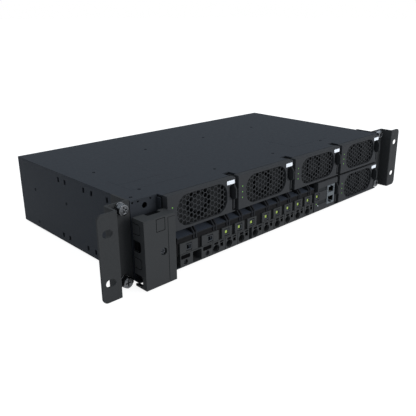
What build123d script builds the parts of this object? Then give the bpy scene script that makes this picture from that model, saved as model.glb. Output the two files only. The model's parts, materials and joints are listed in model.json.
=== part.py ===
from build123d import *
import os
from math import hypot, sqrt

# Two-unit rack power shelf: chassis, rack ears, five plug-in rectifiers, a controller,
# a row of DC breakers over wire terminals, and a covered AC input.
# Origin: centre of the four rack slots, on the plane where the ears meet the rack rails.
# +X to the right seen from the front, +Y towards the back, +Z up. Millimetres.

os.makedirs("parts", exist_ok=True)

# Rack interface
panel_width = 482.6
slot_edge = 8.75
slot_spacing_z = 44.45
slot_length = 9.8
slot_width = 6.8
ear_reach = 42.3
ear_overhang = 1.6
ear_sheet = 2.0
ear_flange_width = 19.4
ear_corner_radius = 5.0
ear_web_depth = 15.8
ear_bend_radius = 1.2

# Chassis
chassis_height = 76.2
ac_bay_width = 30.3
right_margin = 2.9
sheet = 1.5
inner_sheet = 1.2
side_front = 13.5
floor_front = 3.1
cover_front = 7.7
rear_space = 30.0
rear_vent_width = 4.0
rear_vent_height = 24.0
rear_vent_pitch = 14.0
rear_vents_per_bay = 4
side_slot_ys = (49.7, 76.5, 90.5, 126.2, 139.4)
side_slot_width = 3.4
side_slot_height = 5.2
side_slot_top_inset = 8.0
side_slot_floor_inset = 7.2

# Plug-in units
unit_gap = 4.8
row_gap = 2.4
floor_gap = 2.2
unit_length = 200.0
front_depth = 7.0
front_wall = 3.0
front_top_radius = 1.2
rim_wall = 1.5
case_side_inset = 1.0
case_top_inset = 2.2
running_gap = 0.3

# Honeycomb grille
grille_side_margin = 11.2
grille_row_margin = 2.6
grille_corner = 13.0
grille_recess = 2.0
hex_across_flats = 4.3
hex_row_pitch = 5.15
grille_cut_cells = 0.5

# Fan
fan_bore_radius = 15.3
fan_bore_depth = 16.0
fan_tip_gap = 0.5
fan_hub_radius = 9.2
fan_hub_length = 11.0
fan_front_gap = 0.8
fan_shaft_radius = 1.5
fan_shaft_clearance = 0.05
fan_blades = 7
fan_blade_thickness = 1.2
fan_blade_height = 6.0
fan_blade_pitch = 38.0
case_vent_width = 9.0
case_vent_height = 24.0
case_vent_edge = 2.0

# Handle of each plug-in unit
handle_thickness = 2.0
handle_slot_width = 4.2
handle_side_gap = 0.2
handle_pivot_z = -13.9
handle_pivot_y = 3.0
handle_end_radius = 2.6
handle_pin_radius = 1.0
handle_pin_clearance = 0.05
handle_top_z = 10.6
handle_proud = 3.0
handle_slot_bottom = -16.8
handle_slot_top = 11.0
scoop_width = 6.5
scoop_depth = 3.6
scoop_bottom = -5.0
scoop_bed_width = 2.0
scoop_bed_height = 9.6
scoop_bed_radius = 0.6
plate_width = 11.8
plate_height = 4.9
plate_z = 14.0
plate_inset = 1.4
plate_thickness = 0.3

# Connector between each plug-in unit and the backplane
tongue_length = 8.0
tongue_width = 50.0
tongue_thickness = 4.0
socket_wall = 4.0
socket_play = 0.4
backplane_thickness = 2.0
backplane_height = 62.0

# Controller
controller_share = 0.443
controller_step_share = 0.066
controller_step_height = 24.7
controller_gap = 5.0
controller_case_length = 150.0
jack_edge = 21.3
jack_width = 15.0
jack_height = 24.0
jack_centre_z = -19.1
jack_proud = 0.4
jack_depth = 14.0
jack_play = 0.2
port_width = 10.6
port_height = 7.0
port_depth = 11.0
port_spacing = 11.8
port_key_width = 3.6
port_key_height = 1.8
window_edge = 1.5
window_height = 4.4
window_depth = 1.0
upper_window_z = -9.8
lower_window_z = -25.6

# Breakers: places along the row are shares of one unit's pitch, from the AC bay's right wall
breaker_face_bottom = -22.6
breaker_face_height = 11.0
breaker_back = 50.0
breaker_body_top = -6.6
breaker_body_front = 13.0
large_breaker_shares = (0.2675, 0.5713)
large_breaker_share = 0.2478
small_breaker_share = 0.1535
small_breaker_pitch_share = 0.2045
left_breaker_share = 0.8224
left_breaker_count = 3
right_breaker_share = 1.4868
right_breaker_count = 5
rocker_pocket_width = 7.2
rocker_pocket_height = 8.0
rocker_pocket_depth = 5.4
rocker_pocket_z = -17.3
rocker_side_gap = 0.15
rocker_pivot_y = 3.2
rocker_face_y = 1.5
rocker_lip_y = 0.3
rocker_half_height = 3.1
rocker_lip_height = 1.8
rocker_back_y = 4.4
rocker_mark_width = 2.6
rocker_mark_height = 3.8
rocker_mark_depth = 0.9
rocker_mark_edge = 0.4

# Guard rail over the breakers
guard_left_share = 0.114
guard_front_z = -5.2
guard_rise = 2.2
guard_depth = 11.0
guard_sheet = 1.2
guard_web_y = 6.0
guard_web_bottom = -11.2
guard_back_top = 0.3
rib_width = 1.5
rib_gap = 1.7
rib_front = -0.4
rib_foot_z = -10.4
rib_shoulder_z = -3.9
rib_top = 1.6
rib_top_front = 5.0
large_rib_shares = (0.3509, 0.636)
rib_offset = 1.3

# Terminals
terminal_top = -22.9
terminal_bottom = -35.9
terminal_depth = 40.0
terminal_foot_y = 9.0
large_block_shares = (0.1469, 0.6042)
left_block_shares = (0.6086, 1.1842)
right_block_shares = (1.2325, 2.4211)
wire_hole_radius = 4.2
wire_hole_depth = 14.0
wire_hole_z = -30.7
left_wire_share = 0.6579
right_wire_share = 1.2906
wire_pitch_share = 0.2001
left_wire_count = 3
right_wire_count = 6
release_width = 5.2
release_height = 1.7
release_z = -24.9
release_depth = 3.0
test_port_size = 3.8
test_port_offset = 7.6
test_port_z = -28.4
test_port_depth = 4.0
pole_groove_width = 0.6
pole_groove_offset = 5.4
pole_groove_depth = 0.8
large_slot_width = 11.2
large_slot_height = 3.4
large_slot_z = -25.9
large_slot_depth = 5.0
large_slot_shares = (0.2193, 0.5252)
large_screw_radius = 2.6
large_screw_z = -31.6
large_screw_depth = 4.0
large_cable_share = 0.3794
large_cable_size = 11.2
large_cable_corner = 1.5
large_cable_bottom = -35.3
large_cable_depth = 20.0
busbar_thickness = 3.0
busbar_width = 9.0

# AC bay and its cover: places across are measured from the chassis's left side
bay_wall_y = 14.0
bay_hole_radius = 2.7
bay_hole_offset = 15.9
bay_hole_z = 30.6
bay_notch_offsets = (3.0, 9.0, 22.5)
bay_notch_size = 1.8
bay_notch_z = 35.6
ac_block_left = 3.0
ac_block_width = 24.0
ac_block_front = 3.5
ac_block_top = 22.0
ac_block_bottom = -34.0
ac_pole_count = 3
ac_groove_depth = 5.0
ac_rib_width = 2.0
cover_left_offset = -4.4
cover_width = 34.2
cover_bottom = -38.1
cover_height = 64.8
cover_y_front = -11.1
cover_y_back = 5.0
cover_wall = 1.8
knockout_height = 10.3
knockout_front = -5.6
knockout_corner = 3.0
knockout_pitch = 16.05
knockout_lowest_z = -30.8
knockout_groove = 0.45
cover_notch_offset = 7.5
cover_notch_width = 14.5
cover_notch_depth = 6.0
cover_panel_width = 7.7
cover_panel_edge = 0.7
cover_panel_proud = 0.4
cover_panel_height = 60.4
cover_panel_base = 2.1
cover_square_width = 9.6
cover_square_height = 11.8
cover_square_offset = 13.5
cover_square_z = 19.6
cover_square_groove = 0.4
cover_screw_offset = 16.0
cover_screw_z = -6.2
cover_screw_hole = 3.4
cover_screw_head = 2.9
cover_screw_head_height = 2.2
cover_screw_shank = 1.5
cover_screw_length = 8.0
cover_boss_radius = 3.0
cover_boss_front = -7.4
cover_boss_bore = 11.0

# Screws of the ears
ear_screw_offset = 10.4
ear_screw_edge = 3.8
ear_screw_shank = 3.0
ear_screw_play = 0.1
ear_screw_length = 12.0
ear_screw_across = 10.0
ear_screw_head = 4.0
ear_washer_radius = 5.6
ear_washer_thickness = 2.9
bracket_reach = 17.0
bracket_length = 24.0
bracket_overhang = 0.7

# Worked out from the values above
chassis_width = panel_width - 2 * ear_reach
slot_spacing_x = panel_width - 2 * slot_edge
ear_height = chassis_height + 2 * ear_overhang
bracket_height = chassis_height + 2 * bracket_overhang
ear_screw_z = chassis_height / 2 - ear_screw_edge
chassis_back = unit_length + rear_space
bay_back = unit_length
half_width = chassis_width / 2
floor_z = -chassis_height / 2
roof_z = chassis_height / 2
inside_floor = floor_z + sheet
inside_roof = roof_z - sheet
inside_right = half_width - sheet
bay_right = ac_bay_width - half_width - running_gap
unit_pitch = (chassis_width - ac_bay_width - right_margin) / 4
unit_width = unit_pitch - unit_gap
unit_height = (chassis_height - floor_gap - row_gap) / 2
row_pitch = unit_height + row_gap
unit_lefts = [ac_bay_width - half_width + unit_pitch * i for i in range(4)]
top_row_z = roof_z - unit_height / 2
bottom_row_z = top_row_z - row_pitch
shelf_mid_z = top_row_z - unit_height / 2 - row_gap / 2
shelf_top = shelf_mid_z + inner_sheet / 2
shelf_bottom = shelf_mid_z - inner_sheet / 2
backplane_y = unit_length + tongue_length + socket_wall
grille_width = unit_width - 2 * grille_side_margin
grille_height = unit_height - 2 * grille_row_margin
controller_right = unit_lefts[3] - controller_gap
controller_left = controller_right - controller_share * unit_pitch
controller_step_left = controller_left - controller_step_share * unit_pitch
jack_left = controller_right - jack_edge
cover_left = cover_left_offset - half_width
cover_right = cover_left + cover_width
cover_top = cover_bottom + cover_height
cover_screw_x = cover_screw_offset - half_width
large_breaker_width = large_breaker_share * unit_pitch
small_breaker_width = small_breaker_share * unit_pitch
units = [(unit_lefts[i], top_row_z) for i in range(4)] + [(unit_lefts[3], bottom_row_z)]


def along(share):
    """A place along the lower row, as a share of one unit's pitch."""
    return bay_right + share * unit_pitch


def row_of(first_share, pitch_share, count):
    """Evenly spaced places along the lower row."""
    return [along(first_share + pitch_share * i) for i in range(count)]


large_breaker_centres = [along(share) for share in large_breaker_shares]
left_breaker_centres = row_of(left_breaker_share, small_breaker_pitch_share, left_breaker_count)
right_breaker_centres = row_of(right_breaker_share, small_breaker_pitch_share, right_breaker_count)
guard_left = along(guard_left_share)
guard_right = controller_step_left - sheet
left_wires = row_of(left_wire_share, wire_pitch_share, left_wire_count)
right_wires = row_of(right_wire_share, wire_pitch_share, right_wire_count)


def block(x, y, z, mode=Mode.ADD):
    """A block between the two values given for each axis."""
    centre = ((x[0] + x[1]) / 2, (y[0] + y[1]) / 2, (z[0] + z[1]) / 2)
    with Locations(centre):
        Box(abs(x[1] - x[0]), abs(y[1] - y[0]), abs(z[1] - z[0]), mode=mode)


def facing_front(y):
    """A plane at depth y whose normal points out of the front."""
    return Plane(origin=(0, y, 0), x_dir=(1, 0, 0), z_dir=(0, -1, 0))


def facing_right(x):
    """A plane across X: its first axis runs back, its second runs up."""
    return Plane(origin=(x, 0, 0), x_dir=(0, 1, 0), z_dir=(1, 0, 0))


def hex_centres():
    """Centres of the hexagons that reach well into the rounded grille opening."""
    column_pitch = hex_row_pitch * sqrt(3) / 2
    flat_x = grille_width / 2 - grille_corner
    flat_z = grille_height / 2 - grille_corner
    columns = int(grille_width / 2 / column_pitch)
    rows = int(grille_height / 2 / hex_row_pitch) + 1
    centres = []
    for column in range(-columns, columns + 1):
        for row in range(-rows, rows + 1):
            x = column * column_pitch
            z = (row + (column % 2) / 2) * hex_row_pitch
            out_x = max(abs(x) - flat_x, 0)
            out_z = max(abs(z) - flat_z, 0)
            if hypot(out_x, out_z) < grille_corner + grille_cut_cells:
                centres.append((x, z))
    return centres


def handle_housing(right, centre_z):
    """Cuts the handle's slot and the finger scoop, and leaves the handle's pin."""
    slot_left = right - handle_slot_width
    slot_z = (centre_z + handle_slot_bottom, centre_z + handle_slot_top)
    scoop_z = (centre_z + scoop_bottom, slot_z[1])
    block((slot_left - scoop_width, slot_left), (0, scoop_depth + rim_wall), scoop_z)
    block((slot_left, right + 1), (-1, front_depth + 1), slot_z, Mode.SUBTRACT)
    scoop_height = handle_slot_top - scoop_bottom
    middle_z = centre_z + scoop_bottom + scoop_height / 2
    with BuildSketch(facing_front(0)) as mouth:
        with Locations((slot_left, middle_z)):
            RectangleRounded(2 * scoop_width, scoop_height, scoop_width / 2)
    with BuildSketch(facing_front(scoop_depth)) as bed:
        with Locations((slot_left, middle_z)):
            RectangleRounded(scoop_bed_width, scoop_bed_height, scoop_bed_radius)
    loft([mouth.sketch.face(), bed.sketch.face()], ruled=True, mode=Mode.SUBTRACT)
    with BuildSketch(facing_right(slot_left)) as pin:
        with Locations((handle_pivot_y, centre_z + handle_pivot_z)):
            Circle(handle_pin_radius)
    extrude(pin.sketch, amount=handle_slot_width - handle_side_gap)


def rocker_pocket(x):
    """Cuts the pocket of one rocker."""
    pocket_x = (x - rocker_pocket_width / 2, x + rocker_pocket_width / 2)
    pocket_z = (rocker_pocket_z - rocker_pocket_height / 2, rocker_pocket_z + rocker_pocket_height / 2)
    block(pocket_x, (-1, rocker_pocket_depth), pocket_z, Mode.SUBTRACT)


# Chassis tray: floor, two sides and rear folded from one sheet
side_slots = [(y, roof_z - side_slot_top_inset) for y in side_slot_ys]
side_slots += [(y, floor_z + side_slot_floor_inset) for y in side_slot_ys[1:]]
with BuildPart() as chassis_tray:
    bay_floor_front = cover_y_back + running_gap
    block((-half_width, half_width), (bay_floor_front, chassis_back), (floor_z, inside_floor))
    block((bay_right, half_width), (floor_front, chassis_back), (floor_z, inside_floor))
    for side in (-1, 1):
        outer = side * half_width
        inner = side * (half_width - sheet)
        block((inner, outer), (side_front, chassis_back), (floor_z, inside_roof))
    block((-half_width, half_width), (chassis_back - sheet, chassis_back), (floor_z, inside_roof))
    with BuildSketch(facing_right(-half_width - 1)):
        with Locations(*side_slots):
            Rectangle(side_slot_width, side_slot_height)
    extrude(amount=chassis_width + 2, mode=Mode.SUBTRACT)
    for left, centre_z in units:
        with BuildSketch(facing_front(chassis_back + 1)):
            with Locations((left + unit_width / 2, centre_z)):
                with GridLocations(rear_vent_pitch, 1, rear_vents_per_bay, 1):
                    Rectangle(rear_vent_width, rear_vent_height)
        extrude(amount=sheet + 2, mode=Mode.SUBTRACT)
chassis_tray.part.label = "chassis_tray"
export_step(chassis_tray.part, "parts/chassis_tray.step")

# Top cover: flat sheet, set back over the AC bay and notched beside each handle
notch_width = 9.6
notch_back = 18.3
notch_start = 1.2
with BuildPart() as top_cover:
    block((-half_width, half_width), (cover_front, chassis_back), (inside_roof, roof_z))
    through_z = (inside_roof - 1, roof_z + 1)
    block((-half_width - 1, bay_right), (cover_front - 1, side_front), through_z, Mode.SUBTRACT)
    for left in unit_lefts[:3]:
        notch_left = left + unit_width - notch_start
        notch_x = (notch_left, notch_left + notch_width)
        block(notch_x, (cover_front - 1, notch_back), through_z, Mode.SUBTRACT)
top_cover.part.label = "top_cover"
export_step(top_cover.part, "parts/top_cover.step")

# Sheet round the AC bay: rear wall with its hole, and the bay's right wall
with BuildPart() as ac_bay_wall:
    bay_z = (inside_floor, inside_roof)
    block((-half_width + sheet, bay_right), (bay_wall_y, bay_wall_y + inner_sheet), bay_z)
    block((bay_right - inner_sheet, bay_right), (cover_front + running_gap, bay_back), bay_z)
    with BuildSketch(facing_front(bay_wall_y + inner_sheet + 1)):
        with Locations((bay_hole_offset - half_width, bay_hole_z)):
            Circle(bay_hole_radius)
        with Locations(*[(offset - half_width, bay_notch_z) for offset in bay_notch_offsets]):
            Rectangle(bay_notch_size, bay_notch_size)
    extrude(amount=inner_sheet + 2, mode=Mode.SUBTRACT)
    gap_z = (inside_roof - 1, inside_roof + 1)
    block((bay_right - inner_sheet - 1, bay_right + 1), (0, side_front), gap_z, Mode.SUBTRACT)
ac_bay_wall.part.label = "ac_bay_wall"
export_step(ac_bay_wall.part, "parts/ac_bay_wall.step")

# Shelf between the two rows, and the dividers between the bays
divider_front = 20.0
with BuildPart() as row_shelf:
    shelf_front = guard_depth + guard_sheet + running_gap
    block((bay_right, inside_right), (shelf_front, bay_back), (shelf_bottom, shelf_top))
row_shelf.part.label = "row_shelf"
export_step(row_shelf.part, "parts/row_shelf.step")

with BuildPart() as top_dividers:
    for left in unit_lefts[1:]:
        middle = left - unit_gap / 2
        thickness = (middle - inner_sheet / 2, middle + inner_sheet / 2)
        block(thickness, (divider_front, bay_back), (shelf_top, inside_roof))
top_dividers.part.label = "top_dividers"
export_step(top_dividers.part, "parts/top_dividers.step")

with BuildPart() as lower_dividers:
    for middle in (guard_right + inner_sheet, unit_lefts[3] - unit_gap / 2):
        thickness = (middle - inner_sheet / 2, middle + inner_sheet / 2)
        block(thickness, (divider_front, bay_back), (inside_floor, shelf_bottom))
lower_dividers.part.label = "lower_dividers"
export_step(lower_dividers.part, "parts/lower_dividers.step")

# Backplane board and the sockets that take the tongues of the plug-in units
with BuildPart() as backplane_board:
    board_y = (backplane_y, backplane_y + backplane_thickness)
    block((bay_right, inside_right), board_y, (inside_floor, inside_floor + backplane_height))
backplane_board.part.label = "backplane_board"
export_step(backplane_board.part, "parts/backplane_board.step")

with BuildPart() as backplane_sockets:
    for left, centre_z in units:
        middle = left + unit_width / 2
        half_x = tongue_width / 2 + socket_play
        half_z = tongue_thickness / 2 + socket_play
        socket_front = unit_length + 2 * running_gap
        outer_x = (middle - half_x - socket_wall, middle + half_x + socket_wall)
        outer_z = (centre_z - half_z - socket_wall, centre_z + half_z + socket_wall)
        block(outer_x, (socket_front, backplane_y), outer_z)
        slot_end = unit_length + tongue_length + running_gap
        slot_z = (centre_z - half_z, centre_z + half_z)
        block((middle - half_x, middle + half_x), (socket_front - 1, slot_end), slot_z, Mode.SUBTRACT)
backplane_sockets.part.label = "backplane_sockets"
export_step(backplane_sockets.part, "parts/backplane_sockets.step")

# AC terminal block with its barrier ribs and the boss that takes the cover's screw
with BuildPart() as ac_terminal_block:
    block_left = ac_block_left - half_width
    block_right = block_left + ac_block_width
    block((block_left, block_right), (ac_block_front, bay_wall_y), (ac_block_bottom, ac_block_top))
    pole_height = (ac_block_top - ac_block_bottom - ac_rib_width) / ac_pole_count
    for pole in range(ac_pole_count):
        groove_bottom = ac_block_bottom + ac_rib_width + pole_height * pole
        groove_z = (groove_bottom, groove_bottom + pole_height - ac_rib_width)
        groove_y = (ac_block_front - 1, ac_block_front + ac_groove_depth)
        block((block_left - 1, block_right + 1), groove_y, groove_z, Mode.SUBTRACT)
    with BuildSketch(facing_front(bay_wall_y)):
        with Locations((cover_screw_x, cover_screw_z)):
            Circle(cover_boss_radius)
    extrude(amount=bay_wall_y - cover_boss_front)
    with BuildSketch(facing_front(cover_boss_front - 1)):
        with Locations((cover_screw_x, cover_screw_z)):
            Circle(cover_screw_shank + ear_screw_play)
    extrude(amount=-cover_boss_bore, mode=Mode.SUBTRACT)
ac_terminal_block.part.label = "ac_terminal_block"
export_step(ac_terminal_block.part, "parts/ac_terminal_block.step")

# AC cover: a shell open at the back, with four cable knock-outs in its left side
with BuildPart() as ac_cover:
    cover_x = (cover_left, cover_right)
    cover_z = (cover_bottom, cover_top)
    block(cover_x, (cover_y_front, cover_y_back), cover_z)
    hollow_x = (cover_left + cover_wall, cover_right - cover_wall)
    hollow_z = (cover_bottom + cover_wall, cover_top - cover_wall)
    block(hollow_x, (cover_y_front + cover_wall, cover_y_back + 1), hollow_z, Mode.SUBTRACT)
    notch_y = (cover_y_back - cover_notch_depth, cover_y_back + 1)
    notch_left = cover_notch_offset - half_width
    notch_z = (cover_top - 2 * cover_wall, cover_top + 1)
    block((notch_left, notch_left + cover_notch_width), notch_y, notch_z, Mode.SUBTRACT)
    bottom_notch_x = (cover_left + 2 * cover_wall, cover_right - 2 * cover_wall)
    bottom_notch_y = (knockout_front, cover_y_back + 1)
    bottom_notch_z = (cover_bottom - 1, cover_bottom + 2 * cover_wall)
    block(bottom_notch_x, bottom_notch_y, bottom_notch_z, Mode.SUBTRACT)
    for place in range(4):
        knockout_length = cover_y_back + knockout_corner - knockout_front + 1
        knockout_centre = (knockout_front + knockout_length / 2, knockout_lowest_z + knockout_pitch * place)
        open_now = place % 2 == 0
        with BuildSketch(facing_right(cover_left - 1)):
            with Locations(knockout_centre):
                RectangleRounded(knockout_length, knockout_height, knockout_corner)
                if not open_now:
                    inner_length = knockout_length - 2 * knockout_groove
                    inner_height = knockout_height - 2 * knockout_groove
                    inner_corner = knockout_corner - knockout_groove
                    RectangleRounded(inner_length, inner_height, inner_corner, mode=Mode.SUBTRACT)
        extrude(amount=1 + (cover_wall + 1 if open_now else knockout_groove), mode=Mode.SUBTRACT)
    with BuildSketch(facing_front(cover_y_front + cover_wall + 1)):
        with Locations((cover_screw_x, cover_screw_z)):
            Circle(cover_screw_hole)
    extrude(amount=cover_wall + 2, mode=Mode.SUBTRACT)
    panel_right = cover_right - cover_panel_edge
    panel_bottom = cover_bottom + cover_panel_base
    panel_y = (cover_y_front - cover_panel_proud, cover_y_front)
    panel_z = (panel_bottom, panel_bottom + cover_panel_height)
    block((panel_right - cover_panel_width, panel_right), panel_y, panel_z)
    with BuildSketch(facing_front(cover_y_front + cover_square_groove)):
        with Locations((cover_square_offset - half_width, cover_square_z)):
            Rectangle(cover_square_width, cover_square_height)
            inner_width = cover_square_width - 2 * cover_square_groove
            inner_height = cover_square_height - 2 * cover_square_groove
            Rectangle(inner_width, inner_height, mode=Mode.SUBTRACT)
    extrude(amount=cover_square_groove + 1, mode=Mode.SUBTRACT)
ac_cover.part.label = "ac_cover"
export_step(ac_cover.part, "parts/ac_cover.step")

with BuildPart() as ac_cover_screw:
    with BuildSketch(facing_front(cover_boss_front)):
        with Locations((cover_screw_x, cover_screw_z)):
            Circle(cover_screw_head)
    extrude(amount=cover_screw_head_height)
    with BuildSketch(facing_front(cover_boss_front)):
        with Locations((cover_screw_x, cover_screw_z)):
            Circle(cover_screw_shank)
    extrude(amount=-cover_screw_length)
ac_cover_screw.part.label = "ac_cover_screw"
export_step(ac_cover_screw.part, "parts/ac_cover_screw.step")

# Rack ears: flange with slots, web going back, and rear flange screwed to a bracket
flange_edge = panel_width / 2
web_outer = flange_edge - ear_flange_width
for name, side in (("ear_left", -1), ("ear_right", 1)):
    with BuildPart() as ear:
        with BuildSketch(Plane.XY.offset(-ear_height / 2)) as ear_section:
            with BuildLine():
                Polyline(
                    (side * flange_edge, -ear_sheet),
                    (side * web_outer, -ear_sheet),
                    (side * web_outer, ear_web_depth - ear_sheet),
                    (side * (half_width + 0.4), ear_web_depth - ear_sheet),
                    (side * (half_width + 0.4), ear_web_depth),
                    (side * (web_outer + ear_sheet), ear_web_depth),
                    (side * (web_outer + ear_sheet), 0),
                    (side * flange_edge, 0),
                    close=True,
                )
            make_face()
            bend_points = ear_section.vertices().filter_by(lambda v: abs(abs(v.X) - web_outer - 1) < 1.5)
            fillet(bend_points, ear_bend_radius)
        extrude(amount=ear_height)
        corners = ear.edges().filter_by(Axis.Y).filter_by(lambda e: abs(e.center().X) > flange_edge - 0.1)
        fillet(corners, ear_corner_radius)
        with BuildSketch(facing_front(1)):
            with Locations((side * slot_spacing_x / 2, 0)):
                with GridLocations(1, slot_spacing_z, 1, 2):
                    SlotOverall(slot_length, slot_width)
        extrude(amount=ear_sheet + 2, mode=Mode.SUBTRACT)
        with BuildSketch(facing_front(ear_web_depth + 1)):
            with Locations((side * (half_width + ear_screw_offset), 0)):
                with GridLocations(1, 2 * ear_screw_z, 1, 2):
                    Circle(ear_screw_shank + ear_screw_play)
        extrude(amount=ear_sheet + 2, mode=Mode.SUBTRACT)
    ear.part.label = name
    export_step(ear.part, f"parts/{name}.step")

for name, side in (("bracket_left", -1), ("bracket_right", 1)):
    with BuildPart() as bracket:
        bracket_z = (-bracket_height / 2, bracket_height / 2)
        leg_x = (side * half_width, side * (half_width + ear_sheet))
        leg_y = (ear_web_depth, ear_web_depth + bracket_length)
        foot_x = (side * half_width, side * (half_width + bracket_reach))
        foot_y = (ear_web_depth, ear_web_depth + ear_sheet)
        block(leg_x, leg_y, bracket_z)
        block(foot_x, foot_y, bracket_z)
        with BuildSketch(facing_front(ear_web_depth + ear_sheet + 1)):
            with Locations((side * (half_width + ear_screw_offset), 0)):
                with GridLocations(1, 2 * ear_screw_z, 1, 2):
                    Circle(ear_screw_shank + ear_screw_play)
        extrude(amount=ear_sheet + 2, mode=Mode.SUBTRACT)
    bracket.part.label = name
    export_step(bracket.part, f"parts/{name}.step")

# Hex screws with washers that hold the ears to their brackets
with BuildPart() as ear_screws:
    washer_seat = ear_web_depth - ear_sheet
    head_seat = washer_seat - ear_washer_thickness
    with BuildSketch(facing_front(washer_seat)):
        with GridLocations(2 * (half_width + ear_screw_offset), 2 * ear_screw_z, 2, 2):
            Circle(ear_washer_radius)
    extrude(amount=ear_washer_thickness)
    with BuildSketch(facing_front(head_seat)):
        with GridLocations(2 * (half_width + ear_screw_offset), 2 * ear_screw_z, 2, 2):
            RegularPolygon(ear_screw_across / sqrt(3), 6)
    extrude(amount=ear_screw_head)
    with BuildSketch(facing_front(washer_seat)):
        with GridLocations(2 * (half_width + ear_screw_offset), 2 * ear_screw_z, 2, 2):
            Circle(ear_screw_shank)
    extrude(amount=ear_screw_head - ear_screw_length)
ear_screws.part.label = "ear_screws"
export_step(ear_screws.part, "parts/ear_screws.step")

# Breakers: a face with the rocker's pocket, and a taller body behind the guard rail
breaker_face_z = (breaker_face_bottom, breaker_face_bottom + breaker_face_height)


def breaker_body(x, width):
    """One breaker case standing at x."""
    breaker_x = (x - width / 2, x + width / 2)
    block(breaker_x, (0, breaker_back), breaker_face_z)
    block(breaker_x, (breaker_body_front, breaker_back), (breaker_face_bottom, breaker_body_top))
    rocker_pocket(x)


breaker_groups = (
    ("large_breakers", large_breaker_centres, large_breaker_width),
    ("small_breakers_left", left_breaker_centres, small_breaker_width),
    ("small_breakers_right", right_breaker_centres, small_breaker_width),
)
for name, centres, width in breaker_groups:
    with BuildPart() as breakers:
        for x in centres:
            breaker_body(x, width)
    breakers.part.label = name
    export_step(breakers.part, f"parts/{name}.step")

# Toggles: a rocker whose foot stands out as a lip, with a recessed mark in its face
toggles = [(f"large_toggle_{i}", x) for i, x in enumerate(large_breaker_centres, start=1)]
small_centres = left_breaker_centres + right_breaker_centres
toggles += [(f"small_toggle_{i}", x) for i, x in enumerate(small_centres, start=1)]
toggles += [("controller_toggle", controller_left)]
rocker_width = rocker_pocket_width - 2 * rocker_side_gap
for name, x in toggles:
    with BuildPart() as toggle:
        with BuildSketch(facing_right(x - rocker_width / 2)):
            with BuildLine():
                Polyline(
                    (rocker_face_y, rocker_pocket_z + rocker_half_height),
                    (rocker_face_y, rocker_pocket_z - rocker_half_height + rocker_lip_height),
                    (rocker_lip_y, rocker_pocket_z - rocker_half_height),
                    (rocker_pivot_y, rocker_pocket_z - rocker_half_height),
                    (rocker_back_y, rocker_pocket_z),
                    (rocker_pivot_y, rocker_pocket_z + rocker_half_height),
                    close=True,
                )
            make_face()
        extrude(amount=rocker_width)
        mark_x = (x - rocker_mark_width / 2, x + rocker_mark_width / 2)
        mark_top = rocker_pocket_z + rocker_half_height - rocker_mark_edge
        mark_z = (mark_top - rocker_mark_height, mark_top)
        block(mark_x, (rocker_face_y - 1, rocker_face_y + rocker_mark_depth), mark_z, Mode.SUBTRACT)
    toggle.part.label = name
    export_step(toggle.part, f"parts/{name}.step")

# Guard rail: a sloping ledge on a set-back web, a back wall, and pairs of ribs
rib_centres = [along(share) for share in large_rib_shares]
rib_centres += [x + rib_offset for x in small_centres]
with BuildPart() as guard_rail:
    with BuildSketch(facing_right(guard_left)):
        with BuildLine():
            Polyline(
                (0, guard_front_z),
                (guard_depth, guard_front_z + guard_rise),
                (guard_depth, guard_back_top),
                (guard_depth + guard_sheet, guard_back_top),
                (guard_depth + guard_sheet, guard_front_z + guard_rise - guard_sheet),
                (guard_web_y + guard_sheet, guard_front_z - guard_sheet),
                (guard_web_y + guard_sheet, guard_web_bottom),
                (guard_web_y, guard_web_bottom),
                (guard_web_y, guard_front_z - guard_sheet),
                (0, guard_front_z - guard_sheet),
                close=True,
            )
        make_face()
    extrude(amount=guard_right - guard_left)
    for x in rib_centres:
        for edge in (x - rib_gap / 2 - rib_width, x + rib_gap / 2):
            with BuildSketch(facing_right(edge)):
                with BuildLine():
                    Polyline(
                        (rib_front, rib_foot_z),
                        (rib_front, rib_shoulder_z),
                        (rib_top_front, rib_top),
                        (guard_depth, rib_top),
                        (guard_depth, guard_front_z),
                        (guard_web_y, rib_foot_z),
                        close=True,
                    )
                make_face()
            extrude(amount=rib_width)
guard_rail.part.label = "guard_rail"
export_step(guard_rail.part, "parts/guard_rail.step")

# Terminal blocks
terminal_z = (terminal_bottom, terminal_top)


def terminal_body(left, right):
    """A terminal block that stands on the chassis floor."""
    block((left, right), (0, terminal_depth), terminal_z)
    block((left, right), (terminal_foot_y, terminal_depth), (inside_floor, terminal_top))


with BuildPart() as large_terminal_block:
    terminal_body(*[along(share) for share in large_block_shares])
    for x in [along(share) for share in large_slot_shares]:
        slot_x = (x - large_slot_width / 2, x + large_slot_width / 2)
        slot_z = (large_slot_z - large_slot_height / 2, large_slot_z + large_slot_height / 2)
        block(slot_x, (-1, large_slot_depth), slot_z, Mode.SUBTRACT)
        with BuildSketch(facing_front(large_screw_depth)):
            with Locations((x, large_screw_z)):
                Circle(large_screw_radius)
        extrude(amount=large_screw_depth + 1, mode=Mode.SUBTRACT)
    with BuildSketch(facing_front(large_cable_depth)):
        with Locations((along(large_cable_share), large_cable_bottom + large_cable_size / 2)):
            RectangleRounded(large_cable_size, large_cable_size, large_cable_corner)
    extrude(amount=large_cable_depth + 1, mode=Mode.SUBTRACT)
large_terminal_block.part.label = "large_terminal_block"
export_step(large_terminal_block.part, "parts/large_terminal_block.step")

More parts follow.
